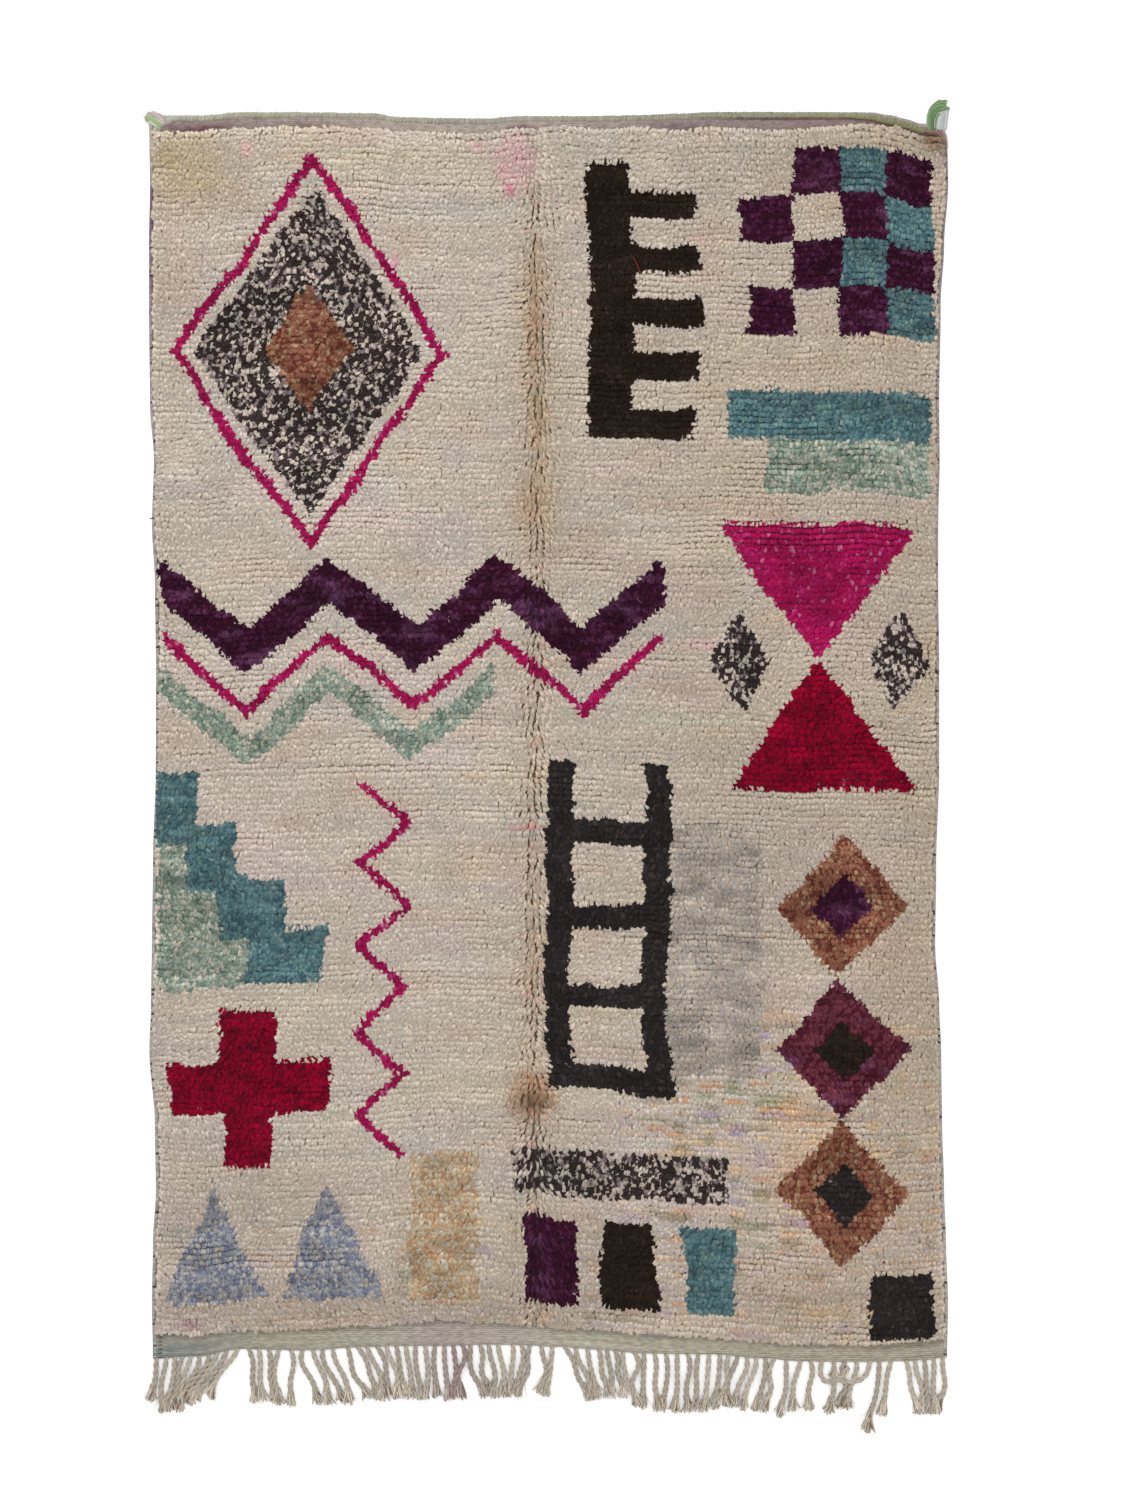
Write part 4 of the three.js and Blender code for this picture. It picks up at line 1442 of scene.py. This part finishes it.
def spun(name, lines, plies, turns, sides, material):
    """Yarn of one ply, or of more that are twisted together, along every line, as one piece."""
    piece = grown(name, yarn_bed(name + "_bed", lines), YARN, {
        "Plies": plies,
        "Ply share": 1.0 if plies == 1 else 0.6,
        "Winding": 0.0 if plies == 1 else 0.46,
        "Turns a metre": turns,
        "Sides": sides,
        "Wool": material,
    })
    lay_out_yarn(piece.data)
    return piece


def warp_colour(x, random):
    """Beige-grey, with a mauve group left of the crease."""
    plain = linear((172, 163, 149))
    mauve = linear((152, 132, 132))
    share = math.exp(-((x + 190) / 34) ** 2)
    return (plain + (mauve - plain) * share) * random.uniform(0.86, 1.1)


def rope(path, random):
    """A strand's path over the floor, with its half thicknesses: thin where the band lets it go."""
    along = np.linspace(0, 1, len(path))
    half = np.interp(along, [0, 0.12, 0.85, 1], [4.4, 5.7, 6.0, 6.4])
    lift = random.uniform(0, 2.4) * np.sin(math.pi * along)
    return np.column_stack([path, 1.06 * half + 0.2 + lift]), half


def strand_path(root, tip, reach, random):
    """From the band's edge, bending over to its place in the bunch."""
    along = np.linspace(0, 1, STRAND_STEPS)
    root_y = float(low_edge(np.array(root))) + 0.5
    sway = random.normal(0, 4.4) * np.sin(math.pi * along)
    sway += random.normal(0, 2.4) * np.sin(2 * math.pi * along)
    x = root + (tip - root) * along ** 1.3 + sway
    y = root_y + (LOW_LINE - reach - root_y) * along
    return np.column_stack([x, y])


def curved_path(corners, steps):
    """A smooth path through a few corners."""
    path = np.asarray(corners, float)
    for _ in range(3):
        first = 0.75 * path[:-1] + 0.25 * path[1:]
        second = 0.25 * path[:-1] + 0.75 * path[1:]
        path = np.vstack([path[:1], np.stack([first, second], axis=1).reshape(-1, 2), path[-1:]])
    share = np.linspace(0, len(path) - 1, steps)
    return np.column_stack([np.interp(share, range(len(path)), path[:, part]) for part in (0, 1)])


def fibre_path(start, reach, turned, height):
    """A path that leaves its start in a direction that may change along it."""
    return np.column_stack([
        start[0] + reach * np.cos(turned),
        start[1] + reach * np.sin(turned),
        height,
    ])


def brush(end, direction, colour, random, length):
    """The frayed end of a strand: fibres side by side that spread a little."""
    aim = math.atan2(direction[1], direction[0])
    forward = np.array([math.cos(aim), math.sin(aim)])
    sideways = np.array([-forward[1], forward[0]])
    along = np.linspace(0, 1, 5)
    lines = []
    for number in range(TIP_FIBRES):
        loose = number < LOOSE_TIP_FIBRES
        across = random.uniform(-1, 1)
        turned = aim + 0.1 * across + random.normal(0, 0.3 if loose else 0.05)
        turned = turned + random.normal(0, 0.16) * along
        reach = length * random.uniform(0.84, 1.0) * (1.15 if loose else 1)
        start = end + 5.2 * across * sideways - random.uniform(0, 10) * forward
        half = (0.8 if loose else random.uniform(1.5, 2.3)) * (1 - 0.15 * along ** 2)
        height = 6 + random.uniform(-3.6, 3.8) - random.uniform(0, 2) * along
        shade = colour * random.uniform(0.85, 1.75)
        if loose:
            shade = linear((232, 226, 216))
        elif random.random() < 0.06:
            shade = linear((140, 112, 94))
        path = fibre_path(start, reach * along, turned, np.maximum(height, half + 0.2))
        lines.append((path, half, shade))
    return lines


def fringe():
    """Warp ends twisted in twos, each with a frayed tip."""
    random = random_for("fringe")
    strands, frays = [], []
    for count, root_from, root_to, tip_from, tip_to, reach in BUNCHES:
        for index in range(count):
            share = index / (count - 1) if count > 1 else 0
            root = root_from + (root_to - root_from) * share
            tip = tip_from + (tip_to - tip_from) * share + random.normal(0, 2.5)
            shorter = random.uniform(0, 8) if count > 1 else 0
            tassel = 50 if reach > 150 else 30
            way = strand_path(root, tip, reach - shorter - tassel + 4, random)
            if (root_from, index) in HOOKED_STRANDS:
                way = curved_path(HOOKED_STRANDS[root_from, index], len(way))
                tassel = 20
            colour = warp_colour(root, random)
            path, half = rope(way, random)
            strands.append((path, half, colour))
            onwards = (way[-1] - way[-4]) * (0.7, 1)
            frays += brush(way[-1], onwards, colour, random, tassel)
    twisted = spun("fringe_strands", strands, 2, STRAND_TURNS_A_METRE, 6, WARP_WOOL)
    frayed = spun("fringe_frays", frays, 1, 0, 3, WARP_WOOL)
    return twisted, frayed


# The tufts by the CAD nodes that they stand for. The lengths and colours go by a lock's share of
# the way across the tuft, and the wraps' colours by their share of the way inwards.
CORNER_TUFTS = {
    "corner_tuft_left": {
        "name": "left_tuft",
        "foot": (-780, 1231),
        "aim": 148,
        "fan": 2,
        "half_foot": 12,
        "lengths": [(-1, 36), (1, 42)],
        "locks": 130,
        "curl": 0.05,
        "gathered": 0.34,
        "mixed": 0.36,
        "colours": [(-1.0, (200, 186, 182)), (-0.3, (194, 190, 180)), (0.1, (160, 174, 132)),
                    (0.5, (140, 164, 102)), (0.8, (168, 182, 146)), (1.0, (188, 194, 176))],
        "wraps": [(-798, 1214), (-793, 1229), (-778, 1239), (-760, 1242)],
        "wrap_middle": (-770, 1220),
        "wrap_colours": [(0, (180, 178, 170)), (1, (154, 142, 138))],
    },
    "corner_tuft_right": {
        "name": "right_tuft",
        "foot": (784, 1220),
        "aim": 92,
        "fan": 6,
        "half_foot": 17,
        "lengths": [(-1, 46), (0.3, 43), (1, 73)],
        "locks": 200,
        "curl": -0.68,
        "gathered": 0.0,
        "mixed": 0.16,
        "colours": [(-1.0, (188, 188, 188)), (0.2, (182, 184, 180)), (0.36, (90, 116, 76)),
                    (0.6, (94, 134, 80)), (1.0, (138, 164, 122))],
        "wraps": [(756, 1225), (776, 1228), (794, 1222), (803, 1207), (804, 1182)],
        "wrap_middle": (772, 1192),
        "wrap_colours": [(0, (166, 156, 154)), (0.35, (152, 130, 126)), (0.7, (130, 106, 90)),
                         (1, (112, 88, 74))],
    },
}


def loose_locks(tuft, random):
    """Locks of yarn side by side, which fan out and curl from one foot."""
    along = np.linspace(0, 1, 8)
    aim = math.radians(tuft["aim"])
    sideways = np.array([-math.sin(aim), math.cos(aim)])
    half = np.interp(along, [0, 0.3, 0.85, 1], [1.4, 1.9, 2.3, 1.2])
    lines = []
    for share in random.uniform(-1, 1, tuft["locks"]):
        curled = tuft["curl"] * 0.55 * (1 + share) + random.normal(0, 0.08)
        turned = math.radians(tuft["aim"] + tuft["fan"] * share) + curled * along ** 2.4
        reach = np.interp(share, *zip(*tuft["lengths"])) * random.uniform(0.74, 1.0)
        reach *= 1 - tuft["gathered"] * 0.5 * share ** 2
        start = np.array(tuft["foot"]) + random.normal(0, 1.3, 2)
        narrowed = 1 - tuft["gathered"] * along ** 2
        aside = sideways[:, None] * tuft["half_foot"] * share * narrowed
        height = 3.0 + random.uniform(0, 4) + 1.2 * np.sin(math.pi * along) + 1.4 * share * along
        path = fibre_path(start[:, None] + aside, reach * along, turned, height)
        place = np.array([share + random.normal(0, tuft["mixed"])])
        colour = colour_along(tuft["colours"], place)[0] * random.uniform(0.66, 1.14)
        lines.append((path, half, colour))
    return lines


def corner_wraps(tuft, random):
    """Yarn wrapped round the rug's corner, from its edge inwards."""
    steps = 12
    lines = []
    for inwards in np.linspace(0, 1, 9):
        way = curved_path(tuft["wraps"], steps) - tuft["wrap_middle"]
        way = tuft["wrap_middle"] + way * (1 - 0.5 * inwards) + random.normal(0, 0.8, 2)
        height = np.full(steps, random.uniform(3.2, 5.6))
        shade = colour_along(tuft["wrap_colours"], np.array([inwards]))[0]
        shade = shade * random.uniform(0.75, 1.15)
        lines.append((np.column_stack([way, height]), 2.4, shade))
    return lines


def corner_tuft(tuft):
    random = random_for(tuft["name"])
    lines = loose_locks(tuft, random) + corner_wraps(tuft, random)
    return spun(tuft["name"], lines, 1, 0, 5, STITCH_WOOL)


STRAY_FIBRES = 26
STRAY_LENGTH = 13
STRAY_COLOURS = [(214, 206, 190), (120, 90, 70), (190, 120, 150)]


def stray_fibres():
    """A dark yarn that lies over the left side, and single fibres on the pile."""
    random = random_for("stray_fibres")
    steps = 12
    along = np.linspace(0, 1, steps)
    dark = np.column_stack([
        -806 + 40 * along, 433 + 2.5 * np.sin(along * 5) - 3 * along,
        np.interp(along, [0, 0.25, 1], [5.5, 12, 16.5]),
    ])
    white = np.column_stack([706 + 20 * along, 28 + 9 * along ** 2, np.full(steps, 16.4)])
    red = np.column_stack([170 + 14 * along, 960 - 30 * along, np.full(steps, 16.6)])
    lines = [
        (dark, 1.1, linear((52, 38, 40))),
        (white, 0.9, linear((236, 234, 228))),
        (red, 0.8, linear((150, 30, 40))),
    ]
    for _ in range(STRAY_FIBRES):
        start = (random.uniform(-760, 760), random.uniform(-1150, 1180))
        turned = random.uniform(0, math.pi) + random.normal(0, 1.2) * along
        path = fibre_path(start, STRAY_LENGTH * along, turned, np.full(steps, 15.2))
        shade = STRAY_COLOURS[random.integers(len(STRAY_COLOURS))]
        lines.append((path, 0.45, linear(shade)))
    return spun("stray_fibres", lines, 1, 0, 4, STITCH_WOOL)


# Floor, light and camera.

FLOOR_HALF = 9
CAMERA_HEIGHT = 6.0
SENSOR_WIDTH = 36
VIEW_LENGTH = 3.03


def floor():
    mesh = bpy.data.meshes.new("floor")
    corners = [(-1, -1, 0), (1, -1, 0), (1, 1, 0), (-1, 1, 0)]
    mesh.from_pydata([np.multiply(corner, FLOOR_HALF) for corner in corners], [], [(0, 1, 2, 3)])
    material = bpy.data.materials.new("pale_floor")
    material.use_nodes = True
    tree = material.node_tree
    shader = tree.nodes["Principled BSDF"]
    shader.inputs["Roughness"].default_value = 0.9
    shader.inputs["Specular IOR Level"].default_value = 0.1
    shader.inputs["Emission Color"].default_value = (1, 1, 1, 1)
    shader.inputs["Emission Strength"].default_value = 0.2
    place = add(tree, "ShaderNodeTexCoord").outputs["Object"]
    grain = add(tree, "ShaderNodeTexNoise", {"Vector": place, "Scale": 3.0, "Detail": 4.0})
    pale = add(tree, "ShaderNodeMix", {
        0: grain.outputs[0],
        6: (0.9, 0.9, 0.9, 1),
        7: (0.93, 0.93, 0.93, 1),
    }, data_type="RGBA")
    tree.links.new(pale.outputs[2], shader.inputs["Base Color"])
    mesh.materials.append(material)
    new_piece("floor", mesh)


def soft_box(name, place, size, power):
    """A square lamp that faces the middle of the rug."""
    lamp = bpy.data.lights.new(name, "AREA")
    lamp.shape = "SQUARE"
    lamp.size = size
    lamp.energy = power
    piece = new_piece(name, lamp)
    piece.location = place
    direction = -np.array(place)
    piece.rotation_euler = (
        math.acos(-direction[2] / np.linalg.norm(direction)),
        0,
        math.atan2(direction[1], direction[0]) - math.pi / 2,
    )


def studio():
    world = bpy.data.worlds.new("studio")
    world.use_nodes = True
    background = world.node_tree.nodes["Background"]
    background.inputs["Color"].default_value = (1, 1, 1, 1)
    background.inputs["Strength"].default_value = 0.86
    scene.world = world
    soft_box("soft_box_top", (-1.6, 3.0, 4.6), 2.6, 100)
    soft_box("soft_box_side", (2.6, -2.4, 5.2), 3.2, 50)
    scene.view_settings.view_transform = "Standard"


def camera():
    """Straight above the rug, far enough back that its sides look straight."""
    lens = bpy.data.cameras.new("camera")
    lens.sensor_width = SENSOR_WIDTH
    lens.lens = SENSOR_WIDTH * CAMERA_HEIGHT / VIEW_LENGTH
    lens.clip_end = 50
    piece = new_piece("camera", lens)
    piece.location = (0.0328, 0.0337, CAMERA_HEIGHT)
    scene.camera = piece


camera()
studio()
floor()

cloth = ground_weave()
tufts_of_pile = pile()
bands = [top_band(), low_band()]
heading_stitches = heading()
selvedges = [
    selvedge("left_selvedge", left_edge, 1, LEFT_SELVEDGE),
    selvedge("right_selvedge", right_edge, -1, RIGHT_SELVEDGE),
]
strands, frays = fringe()
corner_pieces = {node: corner_tuft(tuft) for node, tuft in CORNER_TUFTS.items()}
strays = stray_fibres()

woven = [*tufts_of_pile, *bands, *selvedges, strays]
for piece in [cloth, *woven, heading_stitches, strands, frays, *corner_pieces.values()]:
    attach(piece, "root")
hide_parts("rug")
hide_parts("twined_heading")
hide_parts("fringe")
for node, piece in corner_pieces.items():
    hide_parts(node)
